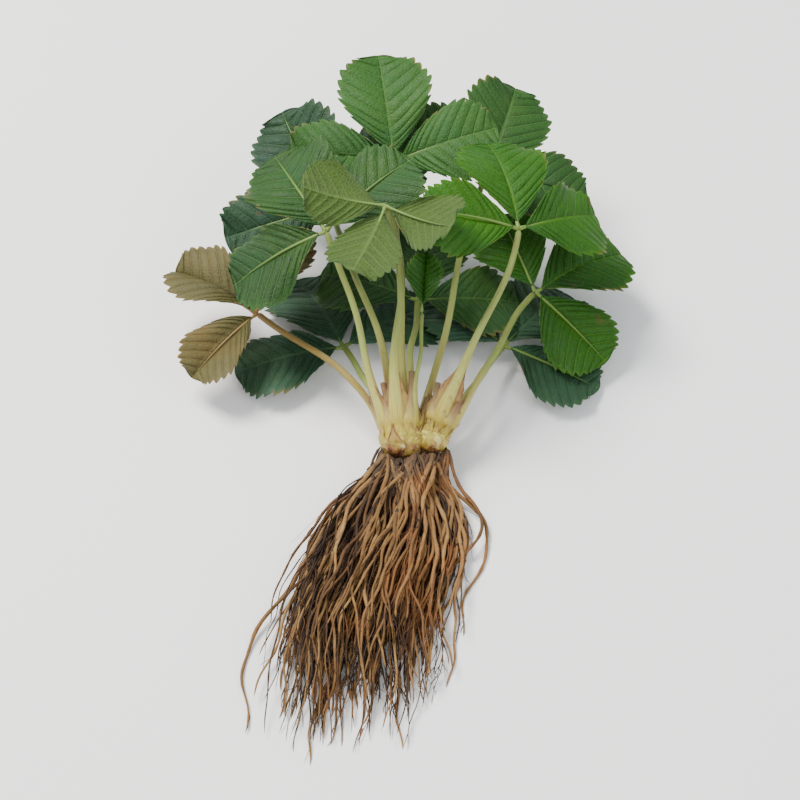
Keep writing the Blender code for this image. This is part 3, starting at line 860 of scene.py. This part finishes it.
def makeRib(name, leaf, matrix, length, halfWidths, tone):
    # the leaflet's short stalk, which runs on as the midrib under the blade
    ownStalk = np.linspace(-1.15, 0, 6)[:-1] * plan["leafletFoot"] / length
    shares = np.concatenate((ownStalk, np.linspace(0, blade["ribEnd"], blade["ribPoints"])))
    flat = np.zeros((len(shares), 3))
    flat[:, 0] = shares * length
    flat[:, 2] = -blade["ribDepth"] - 0.0002 * smoothstep(1 - shares * 3)
    path = placeBlade(bendBlade(flat, length, halfWidths, leaf["fold"], leaf["droop"]), matrix)
    radius = blade["ribRadius"] * (1.12 - np.clip(shares, 0, 1)) ** 0.9 * length / blade["ribLength"]
    radius = radius + blade["jointRadius"] * smoothstep(-shares * length / plan["leafletFoot"])
    side = np.array(matrix.to_3x3() @ up)[None]
    paths, wide, corners = path[None], radius[None], blade["ribCorners"]
    rib = wrapTubes(name, paths, wide * 0.9, wide, corners, np.array([tone]), firstSide=side)
    rib.data.materials.append(paints["oldRib" if leaf["colour"] == "old" else "rib"])
    return rib


def bezier(points, t):
    a, b, c, d = (np.array(point) for point in points)
    t = np.asarray(t)[:, None]
    return a * (1 - t) ** 3 + b * (3 * t * (1 - t) ** 2) + c * (3 * t * t * (1 - t)) + d * t**3


def stalkControl(leaf):
    # the four points of a stalk's curve, from the crown to its leaf's joint
    foot, axis, _, _, size = growingAxes(leaf["growsOn"])
    out = outward(leaf["growsOn"], leaf["seat"])
    ring = plan[leaf["ring"]]
    height = plan["seatHeight"] - plan["seatFall"] * ring / plan["outer"]
    base = foot + axis * height * size + out * ring
    joint = crownFoot + Vector(leaf["joint"])
    start = (axis + out * plan["stalkSpread"] * ring / plan["outer"]).normalized()
    span = joint - base
    heading = direction(leaf["turn"], leaf["lift"])
    arrival = (span.normalized() * (1 - plan["arrival"]) + heading * plan["arrival"]).normalized()
    reach = span.length * plan["stalkBend"]
    return base, base + start * reach, joint - arrival * reach, joint


stalk = {
    "baseRadius": 0.0033,
    "tipRadius": 0.00155,
    "flareShare": 0.20,
    "slimSize": 0.03,  # a leaf shorter than this has a slimmer stalk
    "slimShare": 0.62,
    "points": 44,
    "corners": 16,
    "footDepths": (0.0045, 0.0120),  # how far down the crown its foot runs
    "footSteps": (1.0, 0.86, 0.7, 0.53, 0.36, 0.18),
    "footThickness": 0.85,  # where the stalk goes over into its foot, of its own
    "footThinning": 0.72,  # and how much of that is lost at the foot's lowest point
    "sink": 0.0011,
    "widening": 0.50,
    "footWidening": 0.25,
    "wideShare": 0.26,
    "innerSide": 0.50,
    "claspRadius": 0.0105,
    "sway": 0.0012,
    "swayLength": 0.080,  # a shorter one sways less
    "offFloor": 0.0001,
}


def stalkRadius(t):
    flare = (stalk["baseRadius"] - stalk["tipRadius"]) * np.exp(-t / stalk["flareShare"])
    return stalk["tipRadius"] + flare


def stalkShape(name, leaf):
    # a stalk's middle line, from its foot on the crown's flank to its joint, and its sections
    luck = random.Random(name)
    control = stalkControl(leaf)
    foot, axis, _, _, size = growingAxes(leaf["growsOn"])
    out = outward(leaf["growsOn"], leaf["seat"])
    baseHeight = (control[0] - foot).dot(axis)
    baseRing = (control[0] - foot).dot(out)
    depth = luck.uniform(*stalk["footDepths"]) * size
    wrapped = []
    for share in stalk["footSteps"]:
        height = baseHeight - share * depth
        flank = bulbRadius(height / size) * size - stalk["sink"] * (0.3 + share)
        ring = min(baseRing, flank + (baseRing - flank) * (1 - share) ** 2)
        wrapped.append(foot + axis * height + out * ring)
    t = np.linspace(0, 1, stalk["points"])
    path = bezier(control, t)
    radius = stalkRadius(t)
    if leaf["size"] < stalk["slimSize"]:
        radius = radius * (stalk["slimShare"] + (1 - stalk["slimShare"]) * np.exp(-t / 0.1))
    span = (control[3] - control[0]).length
    sway = np.sin(math.pi * t) * stalk["sway"] * min(1.0, span / stalk["swayLength"])
    path[:, 0] += sway * np.sin(2 * math.pi * (1.3 * t + luck.random()))
    path[:, 2] += sway * np.sin(2 * math.pi * (1.1 * t + luck.random()))
    path[:, 2] = np.maximum(path[:, 2], radius + stalk["offFloor"])
    clasping = np.linspace(1, 0, len(wrapped), endpoint=False)
    sheathed = np.exp(-((t / stalk["wideShare"]) ** 2))
    footThick = (1 - stalk["footThinning"] * clasping) * radius[0] * stalk["footThickness"]
    footWide = radius[0] * (1 + stalk["widening"] + stalk["footWidening"] * clasping)
    footWide = footWide * np.sqrt(1 - 0.75 * clasping**4)  # rounded off at its lowest point
    flatness = np.concatenate((np.ones(len(wrapped)), sheathed))
    return {
        "path": np.concatenate((np.array(wrapped), path)),
        "thick": np.concatenate((footThick, radius * (1 - 0.15 * sheathed))),
        "wide": np.concatenate((footWide, radius * (1 + stalk["widening"] * sheathed))),
        "inner": 1 - (1 - stalk["innerSide"]) * flatness,
        "clasp": flatness**2 / (stalk["claspRadius"] * size),
        "out": np.array(out),
        "tone": luck.random(),
    }


def makeStalk(name, leaf, paint):
    shape = stalkShape(name, leaf)
    piece = wrapTubes(
        name,
        shape["path"][None],
        shape["thick"][None],
        shape["wide"][None],
        stalk["corners"],
        np.array([shape["tone"]]),
        firstSide=shape["out"][None],
        inner=shape["inner"][None, None],
        clasp=shape["clasp"][None, None],
    )
    piece.data.materials.append(paints[paint])
    return piece


def makeLeaf(name, leaf):
    size, width = leaf["size"], plan["halfWidth"]
    piece = makeStalk(name + "_petiole", leaf, "oldStalk" if leaf["colour"] == "old" else "stalk")
    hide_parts(name + "_stalk")
    "old_stalk" if leaf["colour"] == "old" else "stalk"
    settle(piece)
    middle = leafletMatrix(leaf, 0.0, leaf["cup"] * plan["middleCup"], leaf["twist"])
    if name == "young_leaf":
        makeBlade("young_leaf_folded_blade", leaf, middle, size, (width, width), "young_leaf_blade")
        return
    makeBlade(name + "_middle_blade", leaf, middle, size, (width, width), name + "_middle_leaflet")
    size = size * plan["sideSize"]
    widths = tuple(width * share for share in plan["lopsided"])
    for side, splay, twist, halfWidths in (
        ("left", plan["sideSplay"], plan["sideTwists"][0], widths),
        ("right", -plan["sideSplay"], plan["sideTwists"][1], widths[::-1]),
    ):
        matrix = leafletMatrix(leaf, splay, leaf["cup"], twist * leaf["twist"])
        makeBlade(f"{name}_{side}_blade", leaf, matrix, size, halfWidths, f"{name}_{side}_leaflet")


for leafName, leaf in leaves.items():
    makeLeaf(leafName, leaf)
print("leaves made")


# ---- what is left of older leaf stalks, between the others

stubs = {
    "size": 0.05,  # as stout as the stalk of a leaf of this size
    "height": 0.0175,  # of their feet on the crown
    "rows": (  # growing point, seat, length, lean
        ("main", 127, 0.019, 0.24),
        ("main", 66, 0.024, 0.20),
        ("main", 172, 0.015, 0.34),
        ("main", 12, 0.013, 0.34),
        ("main", 286, 0.020, 0.20),
        ("side", 122, 0.020, 0.20),
        ("side", 44, 0.014, 0.34),
        ("side", 214, 0.016, 0.24),
    ),
}


def makeStub(name, which, seat, length, lean):
    foot, axis, _, _, size = growingAxes(which)
    ring = "outer" if which == "main" else "sideRing"
    out = outward(which, seat)
    height = stubs["height"] * size + length
    end = foot + axis * height + out * (plan[ring] + lean * length) - crownFoot
    heading = (axis + out * lean).normalized()
    stub = {
        "growsOn": which,
        "seat": seat,
        "ring": ring,
        "joint": end,
        "turn": math.degrees(math.atan2(heading.x, heading.y)),
        "lift": math.degrees(math.asin(heading.z)),
        "size": stubs["size"],
    }
    return makeStalk(name, stub, "stub")


oldStubs = joinInto(*[makeStub(f"stub_{i:02d}", *row) for i, row in enumerate(stubs["rows"], 1)])
oldStubs.name = oldStubs.data.name = "old_stalk_stubs"
settle(oldStubs)
print("stubs made")


# ---- crown

crown = {
    "aroundSteps": 72,
    "alongSteps": 44,
    "scars": 9,  # edges of old leaf bases that wrap round it
    "scarHeight": 0.0009,
    "scarWidth": 0.035,
    "firstScar": 0.18,
    "scarStep": 0.08,  # each starts this much further up than the last
    "knobs": 0.0006,
}


def makeBulb(name, which):
    luck = random.Random(name)
    size = growingPoints[which][-1]
    steps = {"segments": crown["aroundSteps"], "ring_count": crown["alongSteps"]}
    bpy.ops.mesh.primitive_uv_sphere_add(radius=1, **steps)
    bulb = named(name)
    unit = np.empty(len(bulb.data.vertices) * 3)
    bulb.data.vertices.foreach_get("co", unit)
    unit = unit.reshape(-1, 3)
    share = (unit[:, 2] + 1) / 2  # from the root end to the top
    rounded = np.arccos(np.clip(1 - 2 * share, -1, 1)) / math.pi
    heights, radii = zip(*plan["bulb"])
    height = rounded * heights[-1]
    radius = np.interp(height, heights, radii)
    around = np.arctan2(unit[:, 1], unit[:, 0])
    upper = smoothstep((rounded - 0.15) / 0.3) * smoothstep((1 - rounded) / 0.2)
    ridges = np.zeros(len(unit))
    for i in range(crown["scars"]):
        angle, level = luck.uniform(-math.pi, math.pi), crown["firstScar"] + crown["scarStep"] * i
        apart = np.abs((around - angle + math.pi) % (2 * math.pi) - math.pi)
        curve = level + 0.10 * np.cos(apart)
        ridge = np.exp(-(((rounded - curve) / crown["scarWidth"]) ** 2))
        ridges += ridge * smoothstep((1.9 - apart) / 1.2)
    knobs = np.sin(around * 7 + 3 * np.sin(rounded * 11))
    knobs = knobs * np.sin(rounded * 23 + luck.random() * 6)
    radius = radius + crown["scarHeight"] * ridges * upper + crown["knobs"] * knobs * (1 - rounded)
    radius = radius * smoothstep(np.minimum(rounded, 1 - rounded) * 60 + 0.2)  # closed at its poles
    places = aroundAxis(which, height * size, radius * size, around)
    bulb.data.vertices.foreach_set("co", places.reshape(-1))
    bpy.ops.object.mode_set(mode="EDIT")
    bpy.ops.mesh.select_all(action="SELECT")
    bpy.ops.mesh.normals_make_consistent(inside=False)
    bpy.ops.object.mode_set(mode="OBJECT")
    bpy.ops.object.shade_smooth()
    bulb.data.materials.append(paints["crown"])
    return bulb


crownBody = joinInto(makeBulb("crown_body", "main"), makeBulb("side_bulb", "side"))
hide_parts("crown")
settle(crownBody)
print("crown made")


# ---- papery wings along both sides of the foot of each leaf stalk that stands on an outer ring, and ragged scales round the crown

wings = {
    "thickness": 0.0003,
    "rows": 34,
    "columns": 8,
    "start": 1.0,  # at which of the stalk's foot steps
    "edgeAngle": 62.0,  # where on the stalk it starts, from the outermost line
    "width": 0.0036,
    "curl": 0.0016,
    "ripple": 0.00022,
    "jags": (0.10, 0.06),
    "overlap": 0.0010,
    "reach": 0.17,  # of the stalk's length
    "slim": (1.0, 0.85),  # reach and width of the others, as the broad ones' are given
    "broad": {  # the three broad pairs that the frame has: leaf, reach, width
        "stipule_left": ("leaf_04", 1.25, 1.25),
        "stipule_middle": ("leaf_05", 1.35, 1.15),
        "stipule_right": ("leaf_06", 1.45, 1.35),
    },
}


def gridPlaces(rows, columns):
    share = np.tile(np.arange(rows + 1) / rows, columns + 1)
    across = np.repeat(np.arange(columns + 1) / columns, rows + 1)
    return share, across


def makePaper(name, sizes, places, tone):
    # a papery sheet that stays above the floor
    places[:, 2] = np.maximum(places[:, 2], sizes["thickness"])
    finishes = (paints["sheath"],)
    return makeSheet(
        name, sizes["rows"], sizes["columns"], places, sizes["thickness"], tone, finishes
    )


def makeWing(name, leafName, hand, reach, width):
    luck = random.Random(name)
    shape = stalkShape(leafName + "_petiole", leaves[leafName])
    share, out = gridPlaces(wings["rows"], wings["columns"])
    reach = wings["reach"] * reach * luck.uniform(0.85, 1.15)
    last = len(stalk["footSteps"]) + reach * (stalk["points"] - 1)
    at = wings["start"] + (last - wings["start"]) * share * (1 - 0.10 * out)
    index = np.arange(len(shape["path"]))
    sides, others = turnedFrames(shape["path"][None], shape["out"][None])
    spine, side, other = (
        np.stack([np.interp(at, index, values[:, i]) for i in range(3)], axis=1)
        for values in (shape["path"], sides[0], others[0])
    )
    thick, wide, clasp = (np.interp(at, index, shape[key]) for key in ("thick", "wide", "clasp"))
    deep, fine = wings["jags"]
    jags = deep * np.sin(share * 37 + luck.random() * 6)
    jags = 1 + jags + fine * np.sin(share * 83 + luck.random() * 6)
    spread = wings["width"] * width * smoothstep(share / 0.30) * (1 - share**2.6) * jags
    spread = spread + wings["overlap"] * (1 - share) * smoothstep(share / 0.15)
    edge = math.radians(wings["edgeAngle"])
    aside = math.sin(edge) * wide * 0.92 + out * spread
    ripple = wings["ripple"] * np.sin(share * 29 + out * 3 + luck.random() * 6) * out
    lift = math.cos(edge) * thick * 0.8 - wings["curl"] * out**1.6 * (1 - share) + ripple
    lift = lift - aside**2 * clasp / 2
    places = spine + lift[:, None] * side + (hand * aside)[:, None] * other
    return makePaper(name, wings, places, luck.random())


def makeWingPair(name, leafName, reach, width):
    return joinInto(*[makeWing(f"{name}_{hand:+d}", leafName, hand, reach, width) for hand in (1, -1)])


scales = {
    "thickness": 0.00035,
    "rows": 16,
    "columns": 8,
    "counts": {"main": 24, "side": 15},
    "lows": (0.0040, 0.0135),  # how far up the crown their feet are
    "lengths": (0.008, 0.022),
    "halfWidths": (0.0026, 0.0056),
    "leans": (0.00, 0.10),
    "narrowing": 0.85,
    "jags": (0.12, 0.06),
    "offCrown": 0.0009,
    "footSink": 0.0006,
    "ripple": 0.0002,
    "slant": 0.12,
    "tones": (-2.0, 0.4),  # the lower, the paler
}


def makeScale(name, which, seat):
    luck = random.Random(name)
    low, length = luck.uniform(*scales["lows"]), luck.uniform(*scales["lengths"])
    halfWidth, lean = luck.uniform(*scales["halfWidths"]), luck.uniform(*scales["leans"])
    size = growingPoints[which][-1]
    share, across = gridPlaces(scales["rows"], scales["columns"])
    across = across * 2 - 1
    deep, fine = scales["jags"]
    jags = deep * np.sin(across * 7 + luck.random() * 6)
    jags = jags + fine * np.sin(across * 19 + luck.random() * 6)
    height = (low + length * share * (1 - 0.25 * across**2 + jags * share)) * size
    heights, radii = zip(*plan["bulb"])
    flank = np.interp(height / size, heights, radii) * size
    ring = plan["outer" if which == "main" else "sideRing"]
    away = np.maximum(flank, ring * smoothstep(share / 0.2))
    away = away + scales["offCrown"] * smoothstep(share * 2) - scales["footSink"] * (1 - share) ** 2
    ripple = np.sin(across * 9 + 3 * share + luck.random() * 6)
    away = away + lean * length * size * share**1.5 + scales["ripple"] * ripple
    half = halfWidth * size * (1 - scales["narrowing"] * share**1.2)
    slant = luck.uniform(-scales["slant"], scales["slant"])
    places = aroundAxis(which, height, away, seat + across * half / away + slant * share)
    return makePaper(name, scales, places, luck.uniform(*scales["tones"]))


broadWings = set()
for node, (leafName, reach, width) in wings["broad"].items():
    name = node.replace("stipule", "papery_sheath")
    piece = makeWingPair(name, leafName, reach, width)
    piece.name = piece.data.name = name
    broadWings.add(leafName)
    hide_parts(node)
    settle(piece)
allScales = [
    makeScale(f"{which}_scale_{i:02d}", which, 2 * math.pi * (i + 0.35 * math.sin(i * 2.1)) / count)
    for which, count in scales["counts"].items()
    for i in range(count)
]
slimWings = [
    makeWingPair(leafName + "_wing", leafName, *wings["slim"])
    for leafName, leaf in leaves.items()
    if leafName not in broadWings and leaf["ring"] != "inner"
]
crownScales = joinInto(*allScales, *slimWings)
crownScales.name = crownScales.data.name = "crown_scales"
settle(crownScales)
print("sheaths and scales made")


# ---- roots

rootPlan = {  # the bundles as the frame has them
    "ring": 0.0080,
    "back": 0.0014,
    "laneStart": 0.0028,  # between two lanes at the crown
    "laneNear": 0.0116,  # and where they have opened
    "laneOpen": 0.024,
    "laneWidening": 0.014,  # from there on, for each metre
    "drop": 0.040,  # how far from the crown they are all down
    "drift": -0.17,
    "fill": 0.41,  # radius, of a lane
    "startRadius": 0.0010,
    "swell": 0.062,
    "radius": 0.0060,
    "taper": 0.35,  # the last share of the length, which grows thinner
    "tipRadius": 0.0016,
    "gap": 0.0011,
    "wave": 0.0030,
    "waveLength": 0.120,
    "bundles": {  # lane, length, upper
        "root_bundle_01": (-2.5, 0.150, False),
        "root_bundle_02": (-1.5, 0.160, False),
        "root_bundle_03": (-0.5, 0.164, False),
        "root_bundle_04": (0.5, 0.154, False),
        "root_bundle_05": (1.5, 0.160, False),
        "root_bundle_06": (2.5, 0.136, False),
        "root_bundle_07": (-2.0, 0.150, True),
        "root_bundle_08": (-1.0, 0.158, True),
        "root_bundle_09": (0.0, 0.150, True),
        "root_bundle_10": (1.0, 0.142, True),
    },
}

rootLook = {
    "strands": 36,
    "points": 40,
    "corners": 6,
    "thinnest": 0.00040,
    "thickest": 0.00140,
    "taper": 0.66,
    "lumps": ((0.12, 30, 60), (0.09, 70, 110)),  # height, fewest, most
    "reach": (0.60, 1.04),  # of the bundle's length
    "spread": 1.5,  # how far the strands stray from the bundle's middle, of its radius
    "laneStray": 0.55,  # and sideways, of a lane
    "looseness": 0.0010,  # and how much further, once they are clear of the crown
    "clearLength": 0.03,
    "twist": 10,
    "wander": 0.0026,
    "wanderWaves": ((18, 30), (38, 60), (80, 130)),
    "easing": 34,  # rounds of smoothing where the lanes open
    "fromSide": (0.25, 0.15),  # how many grow from the side growing point, and more for each lane
    "highest": 0.0085,  # how far up the crown's flank they start
    "upperHighest": 0.35,  # and those of the upper bundles, of that
    "endZone": 0.001,  # those lower than this start on the crown's end
    "startDepth": 0.0006,
    "leaveLifts": (-0.15, 0.05),  # of the lower and the upper bundles' roots as they leave it
    "leaveLengths": (0.016, 0.032),  # where they have turned into their bundle
    "offFloor": 0.0001,
}


def laneSpacing(distance):
    opening = rootPlan["laneNear"] - rootPlan["laneStart"]
    opening = opening * smoothstep(distance / rootPlan["laneOpen"])
    widening = rootPlan["laneWidening"] * np.maximum(0.0, distance - rootPlan["laneOpen"])
    return rootPlan["laneStart"] + opening + widening


def bundleRadius(distance, length):
    full = np.minimum(rootPlan["fill"] * laneSpacing(distance), rootPlan["radius"])
    full = np.minimum(full, rootPlan["startRadius"] + rootPlan["swell"] * distance)
    taper = np.minimum(1.0, np.clip(1.0 - distance / length, 0, 1) / rootPlan["taper"]) ** 0.7
    tip = rootPlan["tipRadius"]
    return np.minimum(full, tip + (full - tip) * taper)


def bundleCentre(lane, length, upper, distance):
    # a bundle's middle line: out of the crown's end, down, and away in its lane
    foot, axis, _, over, _ = growingAxes("main")
    radius = bundleRadius(distance, length)
    rest = radius
    if upper:  # it lies in the dip between two lower ones
        longest = max(other[1] for other in rootPlan["bundles"].values())
        below = bundleRadius(distance, longest)
        reach = radius + below + rootPlan["gap"]
        half = laneSpacing(distance) / 2
        rest = np.maximum(radius, below + np.sqrt(np.maximum(reach**2 - half**2, 0.0)))
    rise = math.sqrt(rootPlan["ring"] ** 2 - (lane * rootPlan["laneStart"]) ** 2)
    start = foot - axis * rootPlan["back"] + over * (rise if upper else -rise)
    settled = smoothstep(distance / rootPlan["drop"])
    sideways = lane * laneSpacing(distance) + rootPlan["drift"] * distance
    sideways += rootPlan["wave"] * np.sin(2 * math.pi * distance / rootPlan["waveLength"]) * settled
    height = start.z + (rest - start.z) * settled
    return np.stack((crownFoot.x + sideways, crownFoot.y - distance, height), axis=1)


def strandPath(luck, lane, length, upper):
    # one root: out of the crown's flank, into its bundle and along it, wandering a little
    reach = length * luck.uniform(*rootLook["reach"])
    distance = np.linspace(0.0, 1.0, rootLook["points"]) * reach
    turn = luck.uniform(0, 2 * math.pi)
    stray = luck.random() ** 0.5 * rootLook["spread"]
    twist = luck.uniform(-rootLook["twist"], rootLook["twist"])
    startLane = lane + luck.gauss(0, rootLook["laneStray"] * 0.7)
    endLane = lane + luck.gauss(0, rootLook["laneStray"])
    lanes = startLane + (endLane - startLane) * smoothstep(distance / length)
    clear = smoothstep(distance / rootLook["clearLength"])
    radius = bundleRadius(np.minimum(distance, length), length) + rootLook["looseness"] * clear
    path = bundleCentre(lane, length, upper, np.minimum(distance, length * 1.02))
    path[:, 0] += (lanes - lane) * laneSpacing(distance)
    for _ in range(rootLook["easing"]):
        path[1:-1] = (path[:-2] + 2 * path[1:-1] + path[2:]) / 4
    path[:, 1] = crownFoot.y - distance
    angle = turn + twist * distance
    path[:, 0] += np.cos(angle) * stray * radius
    path[:, 2] += np.sin(angle) * stray * radius * 0.8
    for waves in [luck.uniform(*limits) for limits in rootLook["wanderWaves"]]:
        size = rootLook["wander"] * 24 / waves * clear
        path[:, 0] += size * np.sin(waves * distance * 2.2 + luck.uniform(0, 6.28))
        path[:, 2] += size * 0.6 * np.sin(waves * distance * 2.0 + luck.uniform(0, 6.28))
    start, startTurn = strandStart(luck, lane, startLane, upper)
    blend = smoothstep(distance / luck.uniform(*rootLook["leaveLengths"]))[:, None]
    leave = np.array((startTurn * 0.45, -0.9, rootLook["leaveLifts"][upper]))
    line = np.array(start) + np.outer(distance, leave)
    return line * (1 - blend) + path * blend


def strandStart(luck, lane, startLane, upper):
    # where a root leaves the crown, and how far to the left or right of its end
    middle, perLane = rootLook["fromSide"]
    fromSide = lane > -0.6 and luck.random() < middle + perLane * lane
    foot, axis, right, over, size = growingAxes("side" if fromSide else "main")
    turn = luck.gauss(0, 0.5) + startLane * 0.35
    height = luck.random() ** 2 * rootLook["highest"] * (rootLook["upperHighest"] if upper else 1.0)
    onEnd = height < rootLook["endZone"]
    seat = (math.pi / 2 if upper else -math.pi / 2) * luck.uniform(0.05, 1.0 if onEnd else 0.35)
    out = right * (math.cos(seat) if turn >= 0 else -math.cos(seat)) + over * math.sin(seat)
    ring = bulbRadius(height) * size - rootLook["startDepth"]
    if onEnd:
        ring = ring * luck.uniform(0.3, 0.9)
    return foot + axis * height * size + out * ring, turn


def makeRoots(node, lane, length, upper):
    luck = random.Random(node)
    count, points = rootLook["strands"], rootLook["points"]
    paths = np.empty((count, points, 3))
    radii = np.empty((count, points))
    tones = np.empty(count)
    share = np.linspace(0, 1, points)
    for i in range(count):
        paths[i] = strandPath(luck, lane, length, upper)
        stoutness = luck.random() ** 1.7
        thickness = rootLook["thinnest"] + (rootLook["thickest"] - rootLook["thinnest"]) * stoutness
        lumps = 1.0
        for height, *counts in rootLook["lumps"]:
            lumps = lumps + height * np.sin(share * luck.uniform(*counts) + luck.uniform(0, 6))
        radii[i] = thickness * lumps * (1.0 - rootLook["taper"] * share**1.6)
        tones[i] = np.clip(0.10 + 0.95 * stoutness + luck.gauss(0, 0.16), 0, 1)  # stout ones are light
    paths[..., 2] = np.maximum(paths[..., 2], radii + rootLook["offFloor"])
    # soil near the crown, fading over the first quarter of each root; it also carries painted shade under
    # the crown
    soilAndShade = np.tile(np.clip(1.0 - np.linspace(0, 4.0, points), 0, 1), (count, 1))
    name = node.replace("root_bundle", "roots")
    piece = wrapTubes(name, paths, radii, radii, rootLook["corners"], tones, soilAndShade)
    piece.data.materials.append(paints["root"])
    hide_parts(node)
    settle(piece)
    return paths


strands = [makeRoots(node, *values) for node, values in rootPlan["bundles"].items()]
print("roots made")


rootlets = {
    "count": 1300,
    "points": 8,
    "corners": 4,
    "lengths": (0.010, 0.034),
    "shortening": 0.6,  # towards the tips of the strands
    "radii": (0.00014, 0.00030),
    "taper": 0.6,
    "curl": 0.13,
}


def makeRootlets():
    # thin dark side roots between the strands
    luck = random.Random("rootlets")
    count, points = rootlets["count"], rootlets["points"]
    paths = np.empty((count, points, 3))
    radii = np.empty((count, points))
    share = np.linspace(0, 1, points)
    for i in range(count):
        strandPaths = luck.choice(strands)
        which, at = luck.randrange(len(strandPaths)), luck.randrange(2, rootLook["points"] - 3)
        start = strandPaths[which, at]
        along = strandPaths[which, at + 1] - start
        start = start + along * luck.random()
        along /= np.linalg.norm(along)
        away = np.array((luck.uniform(-1, 1) * 0.6, -0.25, luck.uniform(-0.5, 0.2)))
        length = luck.uniform(*rootlets["lengths"])
        length = length * (1 - rootlets["shortening"] * at / rootLook["points"])
        curl = np.array((luck.uniform(-1, 1), luck.uniform(-0.6, 0.3), luck.uniform(-0.5, 0.5)))
        line = start + np.outer(share * length * 0.7, along) + np.outer(share**1.5 * length * 0.5, away)
        wave = np.sin(share * luck.uniform(3, 9))
        paths[i] = line + np.outer(wave, curl * rootlets["curl"] * length)
        radii[i] = luck.uniform(*rootlets["radii"]) * (1 - rootlets["taper"] * share)
    paths[..., 2] = np.maximum(paths[..., 2], radii + rootLook["offFloor"])
    tones = np.array([luck.random() for _ in range(count)])
    soilAndShade = np.zeros((count, points))
    piece = wrapTubes("rootlets", paths, radii, radii, rootlets["corners"], tones, soilAndShade)
    piece.data.materials.append(paints["rootlet"])
    settle(piece)


crumbs = {
    "count": 320,
    "smallest": 0.0004,
    "sizeRange": 0.0011,
    "nearness": 0.16,  # how close to the crown most of them are, of a strand's length
    "offStrand": 0.0006,
    "stretch": ((0.7, 1.3), (0.7, 1.3), (0.6, 1.0)),
    "roughness": (0.60, 1.25),
}


def makeCrumbs():
    # crumbs of soil caught in the roots, most of them near the crown
    luck = random.Random("crumbs")
    bpy.ops.mesh.primitive_ico_sphere_add(subdivisions=2, radius=1)
    piece = named("soil_crumbs")
    whole = bmesh.new()
    for _ in range(crumbs["count"]):
        strandPaths = luck.choice(strands)
        which = luck.randrange(len(strandPaths))
        at = int(abs(luck.gauss(0, crumbs["nearness"])) * rootLook["points"]) + 1
        at = min(at, rootLook["points"] - 4)
        size = crumbs["smallest"] + crumbs["sizeRange"] * luck.random() ** 2.2
        aside = Vector((luck.uniform(-1, 1), luck.uniform(-1, 1), 0.4)) * crumbs["offStrand"]
        place = Vector(strandPaths[which, at]) + aside
        place.z = max(place.z, size * crumbs["roughness"][1])
        stretch = Vector([luck.uniform(*limits) for limits in crumbs["stretch"]]) * size
        offsets = [luck.uniform(*crumbs["roughness"]) for _ in piece.data.vertices]
        made = bmesh.ops.create_icosphere(whole, subdivisions=2, radius=1.0)["verts"]
        for vertex, offset in zip(made, offsets):
            vertex.co = Vector(a * b for a, b in zip(vertex.co * offset, stretch)) + place
    whole.to_mesh(piece.data)
    whole.free()
    bpy.ops.object.shade_smooth_by_angle(angle=math.radians(35))
    piece.data.materials.append(paints["soil"])
    settle(piece)


makeRootlets()
makeCrumbs()
print("rootlets and soil made")


# ---- floor, light and camera

studio = {
    "floorSize": 8.0,
    "floorColour": (0.93, 0.93, 0.925, 1.0),
    "floorRoughness": 0.85,
    "sky": (0.90, 0.94, 1.0, 1.0),
    "skyStrength": 0.70,
    "lights": {  # place, size, power, colour
        "key": ((-0.70, 0.50, 1.45), 0.7, 54.0, (1.0, 0.97, 0.92)),
        "fill": ((1.1, -0.7, 1.1), 1.3, 12.0, (0.92, 0.96, 1.0)),
        "front": ((-0.3, -1.3, 0.8), 1.0, 8.0, (1.0, 0.98, 0.95)),
    },
    "elevation": 50.0,  # of the camera
    "lens": 137.0,
    "distance": 1.50,
    "aimHeight": 0.30,  # of the plant's
}

bpy.ops.mesh.primitive_plane_add(size=studio["floorSize"])
floor = bpy.context.object
floor.name = "studio_floor"
floorPaint = Paint("studio floor", Base_Color=studio["floorColour"], Roughness=studio["floorRoughness"])
floor.data.materials.append(floorPaint.material)
floor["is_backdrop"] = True

middle = (cadLow + cadHigh) / 2
for name, (place, size, power, colour) in studio["lights"].items():
    bpy.ops.object.light_add(type="AREA", location=place)
    light = bpy.context.object
    light.name = name + "_light"
    light.data.size = size
    light.data.energy = power
    light.data.color = colour
    light.rotation_euler = (middle - Vector(place)).to_track_quat("-Z", "Y").to_euler()

sky = bpy.data.worlds.new("studio sky")
sky.use_nodes = True
sky.node_tree.nodes["Background"].inputs["Color"].default_value = studio["sky"]
sky.node_tree.nodes["Background"].inputs["Strength"].default_value = studio["skyStrength"]
bpy.context.scene.world = sky

aim = Vector((middle.x, middle.y, cadHigh.z * studio["aimHeight"]))
view = direction(0.0, -studio["elevation"])
bpy.ops.object.camera_add(location=aim - view * studio["distance"])
camera = bpy.context.object
camera.name = "camera"
camera.data.lens = studio["lens"]
camera.rotation_euler = view.to_track_quat("-Z", "Y").to_euler()
bpy.context.scene.camera = camera
bpy.ops.object.select_all(action="DESELECT")
print("studio made")


# ---- sizes against the frame's

def writeSizes():
    low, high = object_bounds()
    sizes = {"cad": [list(cadLow), list(cadHigh)], "visual": [list(low), list(high)]}
    for name, corners in sizes.items():
        print(name, "box", [[round(value, 4) for value in corner] for corner in corners])


writeSizes()
